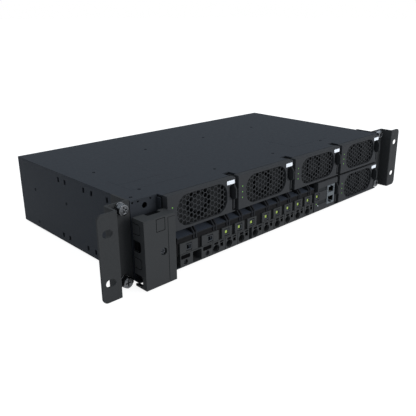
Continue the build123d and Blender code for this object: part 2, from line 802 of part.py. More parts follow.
small_blocks = (
    ("small_terminal_left", left_block_shares, left_wires),
    ("small_terminal_right", right_block_shares, right_wires),
)
for name, shares, wires in small_blocks:
    left, right = [along(share) for share in shares]
    ports = [x + test_port_offset for x in wires]
    with BuildPart() as terminal:
        terminal_body(left, right)
        with BuildSketch(facing_front(wire_hole_depth)):
            with Locations(*[(x, wire_hole_z) for x in wires]):
                Circle(wire_hole_radius)
        extrude(amount=wire_hole_depth + 1, mode=Mode.SUBTRACT)
        with BuildSketch(facing_front(release_depth)):
            with Locations(*[(x, release_z) for x in wires + ports]):
                Rectangle(release_width, release_height)
        extrude(amount=release_depth + 1, mode=Mode.SUBTRACT)
        with BuildSketch(facing_front(test_port_depth)):
            with Locations(*[(x, test_port_z) for x in ports]):
                Rectangle(test_port_size, test_port_size)
        extrude(amount=test_port_depth + 1, mode=Mode.SUBTRACT)
        for x in wires[1:]:
            groove_x = (x - pole_groove_offset - pole_groove_width, x - pole_groove_offset)
            block(groove_x, (-1, pole_groove_depth), (terminal_bottom - 1, terminal_top + 1), Mode.SUBTRACT)
    terminal.part.label = name
    export_step(terminal.part, f"parts/{name}.step")

# Busbars behind the breakers and behind the terminals
with BuildPart() as busbars:
    bar_x = (along(large_block_shares[0]), along(right_block_shares[1]))
    feed_y = (breaker_back, breaker_back + busbar_thickness)
    block(bar_x, feed_y, (breaker_face_bottom, breaker_face_bottom + busbar_width))
    return_y = (terminal_depth, terminal_depth + busbar_thickness)
    block(bar_x, return_y, (terminal_bottom, terminal_bottom + busbar_width))
busbars.part.label = "busbars"
export_step(busbars.part, "parts/busbars.step")

# Fronts of the rectifiers: a shallow pan with the honeycomb grille set back in its face
grille_cells = hex_centres()
for number, (left, centre_z) in enumerate(units, start=1):
    right = left + unit_width
    middle = left + unit_width / 2
    low, high = centre_z - unit_height / 2, centre_z + unit_height / 2
    with BuildPart() as unit_front:
        block((left, right), (0, front_depth), (low, high))
        top_edges = unit_front.edges().filter_by(Axis.X).group_by(Axis.Z)[-1]
        fillet(top_edges.sort_by(Axis.Y)[0], front_top_radius)
        inner_x = (left + rim_wall, right - handle_slot_width - rim_wall)
        block(inner_x, (front_wall, front_depth + 1), (low + rim_wall, high - rim_wall), Mode.SUBTRACT)
        handle_housing(right, centre_z)
        with BuildSketch(facing_front(grille_recess)):
            with Locations((middle, centre_z)):
                RectangleRounded(grille_width, grille_height, grille_corner)
        extrude(amount=grille_recess + 1, mode=Mode.SUBTRACT)
        with BuildSketch(facing_front(front_wall + 1)):
            with Locations((middle, centre_z)):
                with Locations(*grille_cells):
                    RegularPolygon(hex_across_flats / sqrt(3), 6)
                RectangleRounded(grille_width, grille_height, grille_corner, mode=Mode.INTERSECT)
        extrude(amount=front_wall + 2, mode=Mode.SUBTRACT)
        plate_right = right - plate_inset
        plate_z_span = (centre_z + plate_z - plate_height / 2, centre_z + plate_z + plate_height / 2)
        block((plate_right - plate_width, plate_right), (-plate_thickness, 0), plate_z_span)
    unit_front.part.label = f"rectifier_{number}_front"
    export_step(unit_front.part, f"parts/rectifier_{number}_front.step")

    # Case behind the front: fan tunnel with its shaft, side vent and rear tongue
    with BuildPart() as unit_case:
        case_x = (left + case_side_inset, right - case_side_inset)
        block(case_x, (front_depth, unit_length), (low, high - case_top_inset))
        with BuildSketch(facing_front(front_depth + fan_bore_depth)):
            with Locations((middle, centre_z)):
                Circle(fan_bore_radius)
        extrude(amount=fan_bore_depth + 1, mode=Mode.SUBTRACT)
        with BuildSketch(facing_front(front_depth + fan_bore_depth)):
            with Locations((middle, centre_z)):
                Circle(fan_shaft_radius)
        extrude(amount=fan_bore_depth - fan_front_gap - 2)
        vent_right = right - case_side_inset - case_vent_edge
        vent_span = (vent_right - case_vent_width, vent_right)
        vent_z = (centre_z - case_vent_height / 2, centre_z + case_vent_height / 2)
        block(vent_span, (front_depth - 1, front_depth + fan_bore_depth), vent_z, Mode.SUBTRACT)
        tongue_x = (middle - tongue_width / 2, middle + tongue_width / 2)
        tongue_z = (centre_z - tongue_thickness / 2, centre_z + tongue_thickness / 2)
        block(tongue_x, (unit_length, unit_length + tongue_length), tongue_z)
    unit_case.part.label = f"rectifier_{number}_case"
    export_step(unit_case.part, f"parts/rectifier_{number}_case.step")

    # Fan rotor on its shaft
    hub_back = front_depth + fan_front_gap + fan_hub_length
    blade_plane = facing_front(hub_back - fan_hub_length / 2)
    blade_reach = fan_bore_radius - fan_tip_gap - fan_hub_radius + 1
    with BuildPart() as rotor:
        with BuildSketch(facing_front(hub_back)):
            with Locations((middle, centre_z)):
                Circle(fan_hub_radius)
        extrude(amount=fan_hub_length)
        with Locations(blade_plane):
            with Locations((middle, centre_z, 0)):
                with PolarLocations(fan_hub_radius - 1 + blade_reach / 2, fan_blades):
                    Box(blade_reach, fan_blade_thickness, fan_blade_height, rotation=(fan_blade_pitch, 0, 0))
        with BuildSketch(facing_front(hub_back)):
            with Locations((middle, centre_z)):
                Circle(fan_shaft_radius + fan_shaft_clearance)
        extrude(amount=fan_hub_length - 1.5, mode=Mode.SUBTRACT)
    rotor.part.label = f"rectifier_{number}_fan"
    export_step(rotor.part, f"parts/rectifier_{number}_fan.step")


def handle_shape(right, centre_z):
    """Handle beside a unit's right edge: a flat bar with a proud grip and a round foot."""
    pivot_z = centre_z + handle_pivot_z
    top = centre_z + handle_top_z
    bar_front = handle_pivot_y - handle_end_radius
    bar_back = handle_pivot_y + handle_end_radius
    with BuildSketch(facing_right(right - handle_side_gap - handle_thickness)) as outline:
        with BuildLine():
            Polyline(
                (bar_front, pivot_z),
                (bar_front, centre_z - 5.4),
                (-handle_proud, centre_z - 3.4),
                (-handle_proud, centre_z + 6.0),
                (bar_front, top),
                (bar_back, top),
                (bar_back, pivot_z),
                close=True,
            )
        make_face()
        with Locations((handle_pivot_y, pivot_z)):
            Circle(handle_end_radius)
            Circle(handle_pin_radius + handle_pin_clearance, mode=Mode.SUBTRACT)
    extrude(outline.sketch, amount=handle_thickness)


handles = [(f"rectifier_{i}_handle", left + unit_width, z) for i, (left, z) in enumerate(units, start=1)]
handles += [("controller_handle", controller_right, bottom_row_z)]
for name, right, centre_z in handles:
    with BuildPart() as handle:
        handle_shape(right, centre_z)
    handle.part.label = name
    export_step(handle.part, f"parts/{name}.step")

# Controller: stepped front, case and stacked network sockets
controller_low = bottom_row_z - unit_height / 2
controller_high = bottom_row_z + unit_height / 2
jack_x = (jack_left - jack_play, jack_left + jack_width + jack_play)
jack_z = (jack_centre_z - jack_height / 2 - jack_play, jack_centre_z + jack_height / 2 + jack_play)
with BuildPart() as controller_front:
    block((controller_left, controller_right), (0, front_depth), (controller_low, controller_high))
    top_edges = controller_front.edges().filter_by(Axis.X).group_by(Axis.Z)[-1]
    fillet(top_edges.sort_by(Axis.Y)[0], front_top_radius)
    step_z = (controller_low, controller_low + controller_step_height)
    block((controller_step_left, controller_left), (0, front_depth), step_z)
    handle_housing(controller_right, bottom_row_z)
    block(jack_x, (-1, front_depth + 1), jack_z, Mode.SUBTRACT)
    rocker_pocket(controller_left)
    window_x = (controller_left + window_edge, jack_left - window_edge)
    for z in (upper_window_z, lower_window_z):
        window_z = (z - window_height / 2, z + window_height / 2)
        block(window_x, (-1, window_depth), window_z, Mode.SUBTRACT)
controller_front.part.label = "controller_front"
export_step(controller_front.part, "parts/controller_front.step")

with BuildPart() as controller_case:
    case_x = (controller_left + case_side_inset, controller_right - case_side_inset)
    block(case_x, (front_depth, controller_case_length), (controller_low, controller_high - case_top_inset))
    block(jack_x, (front_depth - 1, jack_depth + running_gap), jack_z, Mode.SUBTRACT)
controller_case.part.label = "controller_case"
export_step(controller_case.part, "parts/controller_case.step")

with BuildPart() as network_sockets:
    socket_z = (jack_centre_z - jack_height / 2, jack_centre_z + jack_height / 2)
    block((jack_left, jack_left + jack_width), (-jack_proud, jack_depth), socket_z)
    port_x = jack_left + jack_width / 2
    for way in (-1, 1):
        port_z = jack_centre_z + way * port_spacing / 2
        span_x = (port_x - port_width / 2, port_x + port_width / 2)
        span_z = (port_z - port_height / 2, port_z + port_height / 2)
        block(span_x, (-1, port_depth), span_z, Mode.SUBTRACT)
        key_x = (port_x - port_key_width / 2, port_x + port_key_width / 2)
        key_edge = port_z + way * port_height / 2
        block(key_x, (-1, port_depth), (key_edge - way, key_edge + way * port_key_height), Mode.SUBTRACT)
network_sockets.part.label = "network_sockets"
export_step(network_sockets.part, "parts/network_sockets.step")
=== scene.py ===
import json
import math

import bpy
from mathutils import Matrix, Vector


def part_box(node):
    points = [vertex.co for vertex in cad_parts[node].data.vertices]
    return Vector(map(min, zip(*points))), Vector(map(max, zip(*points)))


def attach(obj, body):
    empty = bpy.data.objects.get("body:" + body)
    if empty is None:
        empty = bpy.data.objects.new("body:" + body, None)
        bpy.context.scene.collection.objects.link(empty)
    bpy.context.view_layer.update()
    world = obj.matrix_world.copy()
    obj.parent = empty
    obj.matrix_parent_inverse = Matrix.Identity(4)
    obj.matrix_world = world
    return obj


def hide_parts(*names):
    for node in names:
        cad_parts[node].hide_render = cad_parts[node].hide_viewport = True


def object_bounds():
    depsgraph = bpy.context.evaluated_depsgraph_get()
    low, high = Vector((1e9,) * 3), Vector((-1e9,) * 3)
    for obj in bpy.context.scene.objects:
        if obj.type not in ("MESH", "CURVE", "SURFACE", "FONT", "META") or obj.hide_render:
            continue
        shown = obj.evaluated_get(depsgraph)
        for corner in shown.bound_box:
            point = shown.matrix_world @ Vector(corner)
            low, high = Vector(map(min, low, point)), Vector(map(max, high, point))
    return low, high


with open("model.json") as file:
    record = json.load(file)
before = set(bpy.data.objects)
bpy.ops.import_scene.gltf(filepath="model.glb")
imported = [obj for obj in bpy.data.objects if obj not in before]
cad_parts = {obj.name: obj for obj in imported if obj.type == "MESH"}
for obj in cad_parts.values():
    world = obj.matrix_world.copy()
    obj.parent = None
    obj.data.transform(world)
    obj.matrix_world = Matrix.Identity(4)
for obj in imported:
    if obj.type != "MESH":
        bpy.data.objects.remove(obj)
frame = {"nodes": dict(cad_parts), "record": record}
cad_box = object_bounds()

MM = 0.001
SMOOTH_ANGLE = math.radians(35)
MERGE_DISTANCE = 0.000001
FACING = 0.9
THIN_EDGE = 0.05 * MM
PAD_EDGE = 0.1 * MM


def srgb(red, green, blue):
    """A colour as it is seen on a screen, from 0 to 255, turned into the renderer's numbers."""
    def part(value):
        value /= 255
        return value / 12.92 if value <= 0.04045 else ((value + 0.055) / 1.055) ** 2.4
    return (part(red), part(green), part(blue), 1.0)


# Colours of the finishes, and of the painted shade and painted light
CHASSIS_PAINT = srgb(52, 55, 60)
FRONT_PAINT = srgb(56, 57, 59)
EAR_PAINT = srgb(57, 58, 59)
INNER_PAINT = srgb(46, 47, 48)
MOULDED_GREY = srgb(58, 59, 60)
GUARD_GREY = srgb(38, 39, 42)
MOULDED_DARK = srgb(34, 35, 37)
TERMINAL_GREY = srgb(60, 61, 62)
HANDLE_GREY = srgb(46, 47, 49)
SOCKET_GREY = srgb(100, 105, 109)
ROCKER_GREY = srgb(62, 64, 67)
FAN_GREY = srgb(42, 43, 45)
# Painted shade and painted light: flat colours for the shade in recesses, slots, holes, gaps and under the
# guard's ledge, and for the light that falls on upward faces
SHADOW_BLACK = srgb(14, 14, 15)
SLOT_SHADE_BLACK = srgb(5, 5, 6)
HOLE_SHADE_GREY = srgb(52, 53, 54)
LIP_SHADE_GREY = srgb(25, 25, 26)
RAMP_PAINTED_LIGHT = srgb(34, 39, 48)
GUARD_TOP_PAINTED_LIGHT = srgb(58, 63, 72)
WINDOW_GREY = srgb(40, 42, 44)
PLATE_WHITE = srgb(232, 236, 242)
LAMP_GREEN = srgb(94, 156, 48)
LAMP_WHITE = srgb(214, 222, 226)
MARK_YELLOW = srgb(140, 162, 62)
ZINC = srgb(196, 199, 203)
STEEL = srgb(100, 102, 105)
BLACK_STEEL = srgb(62, 64, 68)
COPPER = srgb(220, 150, 110)
GOLD = srgb(214, 178, 96)
BOARD_GREEN = srgb(24, 70, 42)


# Materials

def material(name):
    """A new material with its principled shader."""
    made = bpy.data.materials.new(name)
    made.use_nodes = True
    shader = made.node_tree.nodes["Principled BSDF"]
    return made, made.node_tree, shader


def grain(tree, scale, detail, stretch=(1, 1, 1)):
    """Noise on the piece's own coordinates."""
    place = tree.nodes.new("ShaderNodeTexCoord")
    turn = tree.nodes.new("ShaderNodeMapping")
    turn.inputs["Scale"].default_value = stretch
    noise = tree.nodes.new("ShaderNodeTexNoise")
    noise.inputs["Scale"].default_value = scale
    noise.inputs["Detail"].default_value = detail
    tree.links.new(place.outputs["Object"], turn.inputs["Vector"])
    tree.links.new(turn.outputs["Vector"], noise.inputs["Vector"])
    return noise.outputs["Fac"]


def spread(tree, source, low, high):
    """The source's middle range spread between two numbers."""
    ramp = tree.nodes.new("ShaderNodeMapRange")
    ramp.inputs["From Min"].default_value = 0.3
    ramp.inputs["From Max"].default_value = 0.7
    ramp.inputs["To Min"].default_value = low
    ramp.inputs["To Max"].default_value = high
    tree.links.new(source, ramp.inputs["Value"])
    return ramp.outputs["Result"]


def shade_of(colour, factor):
    return tuple(min(1.0, channel * factor) for channel in colour[:3]) + (1.0,)


def vary_colour(tree, shader, source, colour, amount):
    """Lets the colour drift a little over the surface."""
    mix = tree.nodes.new("ShaderNodeMix")
    mix.data_type = "RGBA"
    mix.inputs["A"].default_value = shade_of(colour, 1 - amount)
    mix.inputs["B"].default_value = shade_of(colour, 1 + amount)
    tree.links.new(spread(tree, source, 0, 1), mix.inputs["Factor"])
    tree.links.new(mix.outputs["Result"], shader.inputs["Base Color"])


def raise_grain(tree, shader, source, strength, depth):
    """Fine bumps over the surface."""
    bump = tree.nodes.new("ShaderNodeBump")
    bump.inputs["Strength"].default_value = strength
    bump.inputs["Distance"].default_value = depth
    tree.links.new(source, bump.inputs["Height"])
    tree.links.new(bump.outputs["Normal"], shader.inputs["Normal"])


PAINT_ROUGHNESS = (0.46, 0.52)
PAINT_SHEEN = 0.02
PLASTIC_SHEEN = 0.03


def painted_sheet(name, colour):
    """Powder-coated sheet metal: fine orange peel and a soft sheen."""
    made, tree, shader = material(name)
    vary_colour(tree, shader, grain(tree, 700, 3), colour, 0.05)
    tree.links.new(spread(tree, grain(tree, 240, 3), *PAINT_ROUGHNESS), shader.inputs["Roughness"])
    raise_grain(tree, shader, grain(tree, 1500, 2), 0.12, 0.0002)
    shader.inputs["Specular IOR Level"].default_value = PAINT_SHEEN
    return made


def moulded_plastic(name, colour, low=0.48, high=0.56, sheen=PLASTIC_SHEEN):
    """Moulded plastic with a fine spark-eroded grain."""
    made, tree, shader = material(name)
    vary_colour(tree, shader, grain(tree, 900, 3), colour, 0.04)
    tree.links.new(spread(tree, grain(tree, 300, 3), low, high), shader.inputs["Roughness"])
    raise_grain(tree, shader, grain(tree, 2600, 2), 0.10, 0.00015)
    shader.inputs["Specular IOR Level"].default_value = sheen
    return made


def bright_metal(name, colour, low, high, stretch=(1, 1, 1), scratch=400):
    """Bare or plated metal with fine drawn lines."""
    made, tree, shader = material(name)
    shader.inputs["Metallic"].default_value = 1.0
    vary_colour(tree, shader, grain(tree, 25, 4), colour, 0.06)
    lines = grain(tree, scratch, 4, stretch)
    tree.links.new(spread(tree, lines, low, high), shader.inputs["Roughness"])
    raise_grain(tree, shader, lines, 0.08, 0.0001)
    return made


def glowing(name, colour, strength):
    """A lamp's lens: lit from behind, with a glossy skin. On the rocker marks, which are no lamps, the glow
    is painted light.
    """
    made, tree, shader = material(name)
    vary_colour(tree, shader, grain(tree, 900, 2), colour, 0.05)
    shader.inputs["Roughness"].default_value = 0.3
    shader.inputs["Emission Color"].default_value = colour
    shader.inputs["Emission Strength"].default_value = strength
    return made


# Roughness and sheen of a recess: it reflects nothing of the white floor
RECESS_SKIN = (0.6, 0.7, 0.0)

chassis_paint = painted_sheet("chassis powder coat", CHASSIS_PAINT)
front_paint = painted_sheet("front powder coat", FRONT_PAINT)
ear_paint = painted_sheet("ear powder coat", EAR_PAINT)
inner_paint = painted_sheet("inner powder coat", INNER_PAINT)
moulded_grey = moulded_plastic("grey moulding", MOULDED_GREY)
guard_grey = moulded_plastic("guard moulding", GUARD_GREY)
moulded_dark = moulded_plastic("dark moulding", MOULDED_DARK)
terminal_grey = moulded_plastic("terminal moulding", TERMINAL_GREY)
handle_grey = moulded_plastic("handle moulding", HANDLE_GREY)
socket_grey = moulded_plastic("network socket shell", SOCKET_GREY, 0.32, 0.4)
rocker_grey = moulded_plastic("rocker moulding", ROCKER_GREY, 0.34, 0.4)
fan_grey = moulded_plastic("fan moulding", FAN_GREY)
# Materials of painted shade and painted light
painted_recess_shade = moulded_plastic("painted recess shade", SHADOW_BLACK, *RECESS_SKIN)
painted_slot_shade = moulded_plastic("painted slot shade", SLOT_SHADE_BLACK, *RECESS_SKIN)
painted_hole_shade = moulded_plastic("wire entry painted shade", HOLE_SHADE_GREY, *RECESS_SKIN)
painted_ramp_light = moulded_plastic("rocker ramp painted light", RAMP_PAINTED_LIGHT)
painted_lip_shade = moulded_plastic("guard lip painted shade", LIP_SHADE_GREY)
painted_guard_top_light = moulded_plastic("guard top painted light", GUARD_TOP_PAINTED_LIGHT)
window_grey = moulded_plastic("window pane", WINDOW_GREY, 0.3, 0.36)
plate_white = moulded_plastic("white plate", PLATE_WHITE, 0.35, 0.45)
zinc = bright_metal("zinc-plated sheet", ZINC, 0.3, 0.42, (1, 40, 1))
steel = bright_metal("bright screw steel", STEEL, 0.2, 0.3, (1, 1, 20), 900)
black_steel = bright_metal("blackened steel", BLACK_STEEL, 0.3, 0.4, (1, 1, 20), 900)
copper = bright_metal("copper bar", COPPER, 0.25, 0.36, (30, 1, 1))
gold = bright_metal("gilded contact", GOLD, 0.2, 0.3, (1, 20, 1), 900)
board_green = moulded_plastic("board lacquer", BOARD_GREEN, 0.25, 0.35)
lamp_green = glowing("green lamp", LAMP_GREEN, 0.22)
lamp_white = glowing("white lamp", LAMP_WHITE, 0.5)
# The rocker marks are yellow-green and no lamps: their glow is painted light
mark_yellow_with_painted_glow = glowing("yellow-green mark with painted glow", MARK_YELLOW, 0.22)

FINISH_OF_SLOT = {
    "chassis_sheet": chassis_paint,
    "ear_sheet": ear_paint,
    "front_paint": front_paint,
    "bare_sheet": zinc,
    "screw_steel": steel,
    "dark_plastic": moulded_dark,
    "grey_plastic": moulded_grey,
    "light_plastic": socket_grey,
    "paddle_plastic": rocker_grey,
    "copper": copper,
    "board": board_green,
}

slot_of_node = {part["node"]: part["material_slot"] for part in frame["record"]["subparts"]}
body_of_node = {
    node: body for body, nodes in frame["record"]["behaviour"]["bodies"].items() for node in nodes
}
for node, piece in frame["nodes"].items():
    piece.data.materials.clear()
    piece.data.materials.append(FINISH_OF_SLOT[slot_of_node[node]])


# Modelling helpers

def nothing_selected():
    if bpy.context.object and bpy.context.object.mode != "OBJECT":
        bpy.ops.object.mode_set(mode="OBJECT")
    bpy.ops.object.select_all(action="DESELECT")


def only(piece):
    """Selects this piece alone and makes it active."""
    nothing_selected()
    piece.select_set(True)
    bpy.context.view_layer.objects.active = piece


def settle(piece):
    """Puts the piece's place into its mesh."""
    only(piece)
    bpy.ops.object.transform_apply(location=True, rotation=True, scale=True)


def apply_modifier(piece, modifier):
    only(piece)
    bpy.ops.object.modifier_apply(modifier=modifier.name)


def round_edges(piece, width, segments=2, angle=30):
    """Rounds the sharp edges of a finished piece and keeps its flat faces flat."""
    bevel = piece.modifiers.new("rounded edges", "BEVEL")
    bevel.width = width
    bevel.segments = segments
    bevel.limit_method = "ANGLE"
    bevel.angle_limit = math.radians(angle)
    bevel.use_clamp_overlap = False
    bevel.loop_slide = False
    apply_modifier(piece, bevel)
    bpy.ops.object.shade_smooth_by_angle(angle=SMOOTH_ANGLE)
    flat = piece.modifiers.new("flat faces stay flat", "WEIGHTED_NORMAL")
    flat.keep_sharp = True
    apply_modifier(piece, flat)


def select_faces(piece, wanted):
    """Enters edit mode with only the wanted faces selected."""
    only(piece)
    bpy.ops.object.mode_set(mode="EDIT")
    bpy.ops.mesh.select_mode(type="FACE")
    bpy.ops.mesh.select_all(action="DESELECT")
    bpy.ops.object.mode_set(mode="OBJECT")
    for face in piece.data.polygons:
        face.select = wanted(face)
    bpy.ops.object.mode_set(mode="EDIT")


def faces_forward(face):
    return face.normal.y < -FACING


def faces_back(face):
    return face.normal.y > FACING


def push_face(piece, wanted, inset, move):
    """Insets the wanted faces and moves what is inside by a distance."""
    select_faces(piece, wanted)
    if inset:
        bpy.ops.mesh.inset(thickness=inset, depth=0)
    bpy.ops.mesh.extrude_region_move(TRANSFORM_OT_translate={"value": move})
    bpy.ops.object.mode_set(mode="OBJECT")


def rod(x, z, radius, y_front, y_back, vertices):
    """A round or many-sided bar along the depth, between two depths."""
    nothing_selected()
    bpy.ops.mesh.primitive_cylinder_add(
        vertices=vertices, radius=radius, depth=y_back - y_front,
        location=(x, (y_front + y_back) / 2, z), rotation=(math.pi / 2, 0, 0),
    )
    piece = bpy.context.object
    settle(piece)
    return piece


def ring(x, z, outer, inner, y_front, y_back, vertices=32):
    """A washer or sleeve: an open tube that is given its wall."""
    nothing_selected()
    bpy.ops.mesh.primitive_cylinder_add(
        vertices=vertices, radius=outer, depth=y_back - y_front, end_fill_type="NOTHING",
        location=(x, (y_front + y_back) / 2, z), rotation=(math.pi / 2, 0, 0),
    )
    piece = bpy.context.object
    settle(piece)
    wall = piece.modifiers.new("wall", "SOLIDIFY")
    wall.thickness = outer - inner
    wall.offset = -1
    apply_modifier(piece, wall)
    return piece


def plain_block(low, high):
    """A sharp-edged block between two corners, to be worked further."""
    low = Vector(low)
    high = Vector(high)
    nothing_selected()
    bpy.ops.mesh.primitive_cube_add(size=1, location=(low + high) / 2)
    piece = bpy.context.object
    piece.scale = high - low
    settle(piece)
    return piece


def cut_away(piece, cutter, operation="DIFFERENCE"):
    """Cuts the piece with another one, which is then gone."""
    cut = piece.modifiers.new("cut", "BOOLEAN")
    cut.operation = operation
    cut.solver = "EXACT"
    cut.object = cutter
    apply_modifier(piece, cut)
    bpy.data.objects.remove(cutter)


def joined(pieces):
    """The pieces as one."""
    nothing_selected()
    for piece in pieces:
        piece.select_set(True)
    bpy.context.view_layer.objects.active = pieces[0]
    bpy.ops.object.join()
    return pieces[0]


def copy_at(piece, step):
    """A copy with its own mesh, a step away."""
    twin = piece.copy()
    twin.data = piece.data.copy()
    bpy.context.scene.collection.objects.link(twin)
    twin.data.transform(Matrix.Translation(step))
    return twin


def finish_piece(piece, name, finish, body, replaced=()):
    """Names and paints a piece, and fixes it to the body that carries it."""
    piece.name = name
    piece.data.name = name
    piece.data.materials.clear()
    piece.data.materials.append(finish)
    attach(piece, body)
    if replaced:
        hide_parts(*replaced)
    return piece


def merged_copy(node):
    """A copy of a node with its loose triangles merged."""
    source = frame["nodes"][node]
    piece = source.copy()
    piece.data = source.data.copy()
    bpy.context.scene.collection.objects.link(piece)
    piece.parent = None
    only(piece)
    bpy.ops.object.mode_set(mode="EDIT")
    bpy.ops.mesh.select_all(action="SELECT")
    bpy.ops.mesh.remove_doubles(threshold=MERGE_DISTANCE)
    bpy.ops.object.mode_set(mode="OBJECT")
    return piece


def dressed_copy(node, name, width, finish=None):
    """A node's own shape with rounded edges, in place of the node."""
    piece = merged_copy(node)
    round_edges(piece, width)
    finish = finish or FINISH_OF_SLOT[slot_of_node[node]]
    return finish_piece(piece, name, finish, body_of_node[node], (node,))


def finish_group(pieces, width, name, finish, body):
    """Small pieces joined into one, with their edges just broken."""
    group = joined(pieces)
    round_edges(group, width, 1)
    finish_piece(group, name, finish, body)


def slab(low, high, name, finish, body, width, segments=2):
    """A small block with rounded edges between two corners."""
    piece = plain_block(low, high)
    round_edges(piece, width, segments)
    finish_piece(piece, name, finish, body)


def pad(low, high, corner, name, finish, body):
    """A flat plate that faces the front, with round corners and a softened face."""
    piece = plain_block(low, high)
    only(piece)
    bpy.ops.object.mode_set(mode="EDIT")
    bpy.ops.mesh.select_mode(type="EDGE")
    bpy.ops.mesh.select_all(action="DESELECT")
    bpy.ops.object.mode_set(mode="OBJECT")
    corners = [vertex.co for vertex in piece.data.vertices]
    for edge in piece.data.edges:
        start, end = (corners[index] for index in edge.vertices)
        edge.select = abs(start.y - end.y) > MERGE_DISTANCE
    bpy.ops.object.mode_set(mode="EDIT")
    bpy.ops.mesh.bevel(offset=corner, segments=4)
    bpy.ops.object.mode_set(mode="OBJECT")
    round_edges(piece, PAD_EDGE, 1, 60)
    finish_piece(piece, name, finish, body)


# Rectifiers: bezel, handle, lamps, plate and fan
UNIT_NAMES = [f"rectifier_{number}" for number in range(1, 6)]
BEZEL_EDGE = 0.16 * MM
GRIP_EDGE = 0.3 * MM
FAN_EDGE = 0.25 * MM
HUB_RIM = 1.4 * MM
HUB_DISH = 0.35 * MM
HUB_FACE_DEPTH = 0.1 * MM
LAMP_OFFSET = 5.7 * MM
LAMP_PITCH = 6.05 * MM
LAMP_RADIUS = 0.66 * MM
LAMP_BACK = 0.6 * MM
LAMP_PROUD = 0.12 * MM
LAMP_CROWN_SHARE = 0.35
LAMP_EDGE_SHARE = 0.15
PLATE_WIDTH = 10.6 * MM
PLATE_INSET = 1.4 * MM
PLATE_BOTTOM = 11.8 * MM
PLATE_TOP = 15.7 * MM
PLATE_BACK = 0.1 * MM
PLATE_COVER = 0.08 * MM
PLATE_CORNER = 0.8 * MM


def lamp(x, z, radius, name, finish, body):
    """A small round lens with a low crown."""
    piece = rod(x, z, radius, -LAMP_PROUD / 2, LAMP_BACK, 20)
    push_face(piece, faces_forward, radius * LAMP_CROWN_SHARE, (0, -LAMP_PROUD / 2, 0))
    round_edges(piece, radius * LAMP_EDGE_SHARE)
    finish_piece(piece, name, finish, body)


def fan_rotor(unit):
    """The fan's rotor with a dished hub and rounded blades."""
    node = f"{unit}_fan"
    rotor = merged_copy(node)
    hub_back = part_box(node)[0].y + HUB_FACE_DEPTH

    def is_hub_face(face):
        return faces_forward(face) and face.center.y < hub_back

    push_face(rotor, is_hub_face, HUB_RIM, (0, HUB_DISH, 0))
    round_edges(rotor, FAN_EDGE)
    finish_piece(rotor, f"{unit}_fan_rotor", fan_grey, node, (node,))


for unit in UNIT_NAMES:
    dressed_copy(f"{unit}_front", f"{unit}_bezel", BEZEL_EDGE)
    dressed_copy(f"{unit}_handle", f"{unit}_grip", GRIP_EDGE, handle_grey)
    frame["nodes"][f"{unit}_case"].data.materials[0] = inner_paint
    fan_rotor(unit)
    low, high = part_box(f"{unit}_front")
    centre_z = (low.z + high.z) / 2
    for step in (-1, 0, 1):
        lamp(low.x + LAMP_OFFSET, centre_z + step * LAMP_PITCH, LAMP_RADIUS,
             f"{unit}_lamp_{step + 2}", lamp_green, unit)
    plate_high = Vector((high.x - PLATE_INSET, PLATE_BACK, centre_z + PLATE_TOP))
    plate_low = Vector((plate_high.x - PLATE_WIDTH, low.y - PLATE_COVER, centre_z + PLATE_BOTTOM))
    rim = Vector((PLATE_COVER, 0, PLATE_COVER))
    pad(plate_low - rim, plate_high + rim, PLATE_CORNER, f"{unit}_plate", plate_white, unit)

# Controller: bezel, handle, window panes, lamps and network sockets
CONTROLLER_EDGE = 0.18 * MM
SOCKET_EDGE = 0.15 * MM
PANE_BACK = 1.0 * MM
PANE_FACE = 0.75 * MM
WINDOW_MARGIN = 1.5 * MM
WINDOW_HEIGHT = 4.4 * MM
WINDOW_ZS = (-9.8 * MM, -25.6 * MM)
WINDOW_START = 6.02 * MM
CONTROLLER_LAMPS = (
    ("controller_status_lamp", 57.5 * MM, -26.1 * MM, 0.7 * MM, lamp_green),
    ("controller_alarm_lamp", 60.8 * MM, -28.8 * MM, 0.5 * MM, lamp_white),
)
window_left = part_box("controller_front")[0].x + WINDOW_START
sockets_low, sockets_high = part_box("network_sockets")
dressed_copy("controller_front", "controller_bezel", CONTROLLER_EDGE)
dressed_copy("controller_handle", "controller_grip", GRIP_EDGE, handle_grey)
dressed_copy("network_sockets", "network_socket_block", SOCKET_EDGE)
frame["nodes"]["controller_case"].data.materials[0] = inner_paint
for number, z in enumerate(WINDOW_ZS, start=1):
    slab(
        (window_left + WINDOW_MARGIN, PANE_FACE, z - WINDOW_HEIGHT / 2),
        (sockets_low.x - WINDOW_MARGIN, PANE_BACK, z + WINDOW_HEIGHT / 2),
        f"controller_window_{number}", window_grey, "controller", THIN_EDGE,
    )
for name, x, z, radius, finish in CONTROLLER_LAMPS:
    lamp(x, z, radius, name, finish, "controller")

PORT_WIDTH = 10.6 * MM
PORT_HEIGHT = 7.0 * MM
PORT_FRONT = 0.5 * MM
PORT_DEPTH = 11.0 * MM
PORT_SPACING = 11.8 * MM
LINING = 0.12 * MM
LINING_EDGE = 0.03 * MM
CONTACTS = 8
CONTACT_PITCH = 1.02 * MM
CONTACT_WIDTH = 0.45 * MM
CONTACT_THICKNESS = 0.35 * MM
CONTACT_FRONT = 3 * MM
CONTACT_BACK = 8 * MM
CONTACT_REACH = 2 * MM
CONTACT_LEAN = 1.6 * MM
CONTACT_EDGE = 0.08 * MM
port_x = (sockets_low.x + sockets_high.x) / 2
socket_z = (sockets_low.z + sockets_high.z) / 2


def port_lining(centre_z):
    """Thin walls inside one network socket, with its back, painted black for the shade inside it."""
    left, right = port_x - PORT_WIDTH / 2, port_x + PORT_WIDTH / 2
    bottom, top = centre_z - PORT_HEIGHT / 2, centre_z + PORT_HEIGHT / 2
    return [
        plain_block((left, PORT_FRONT, bottom), (left + LINING, PORT_DEPTH, top)),
        plain_block((right - LINING, PORT_FRONT, bottom), (right, PORT_DEPTH, top)),
        plain_block((left, PORT_DEPTH - LINING, bottom), (right, PORT_DEPTH, top)),
    ]


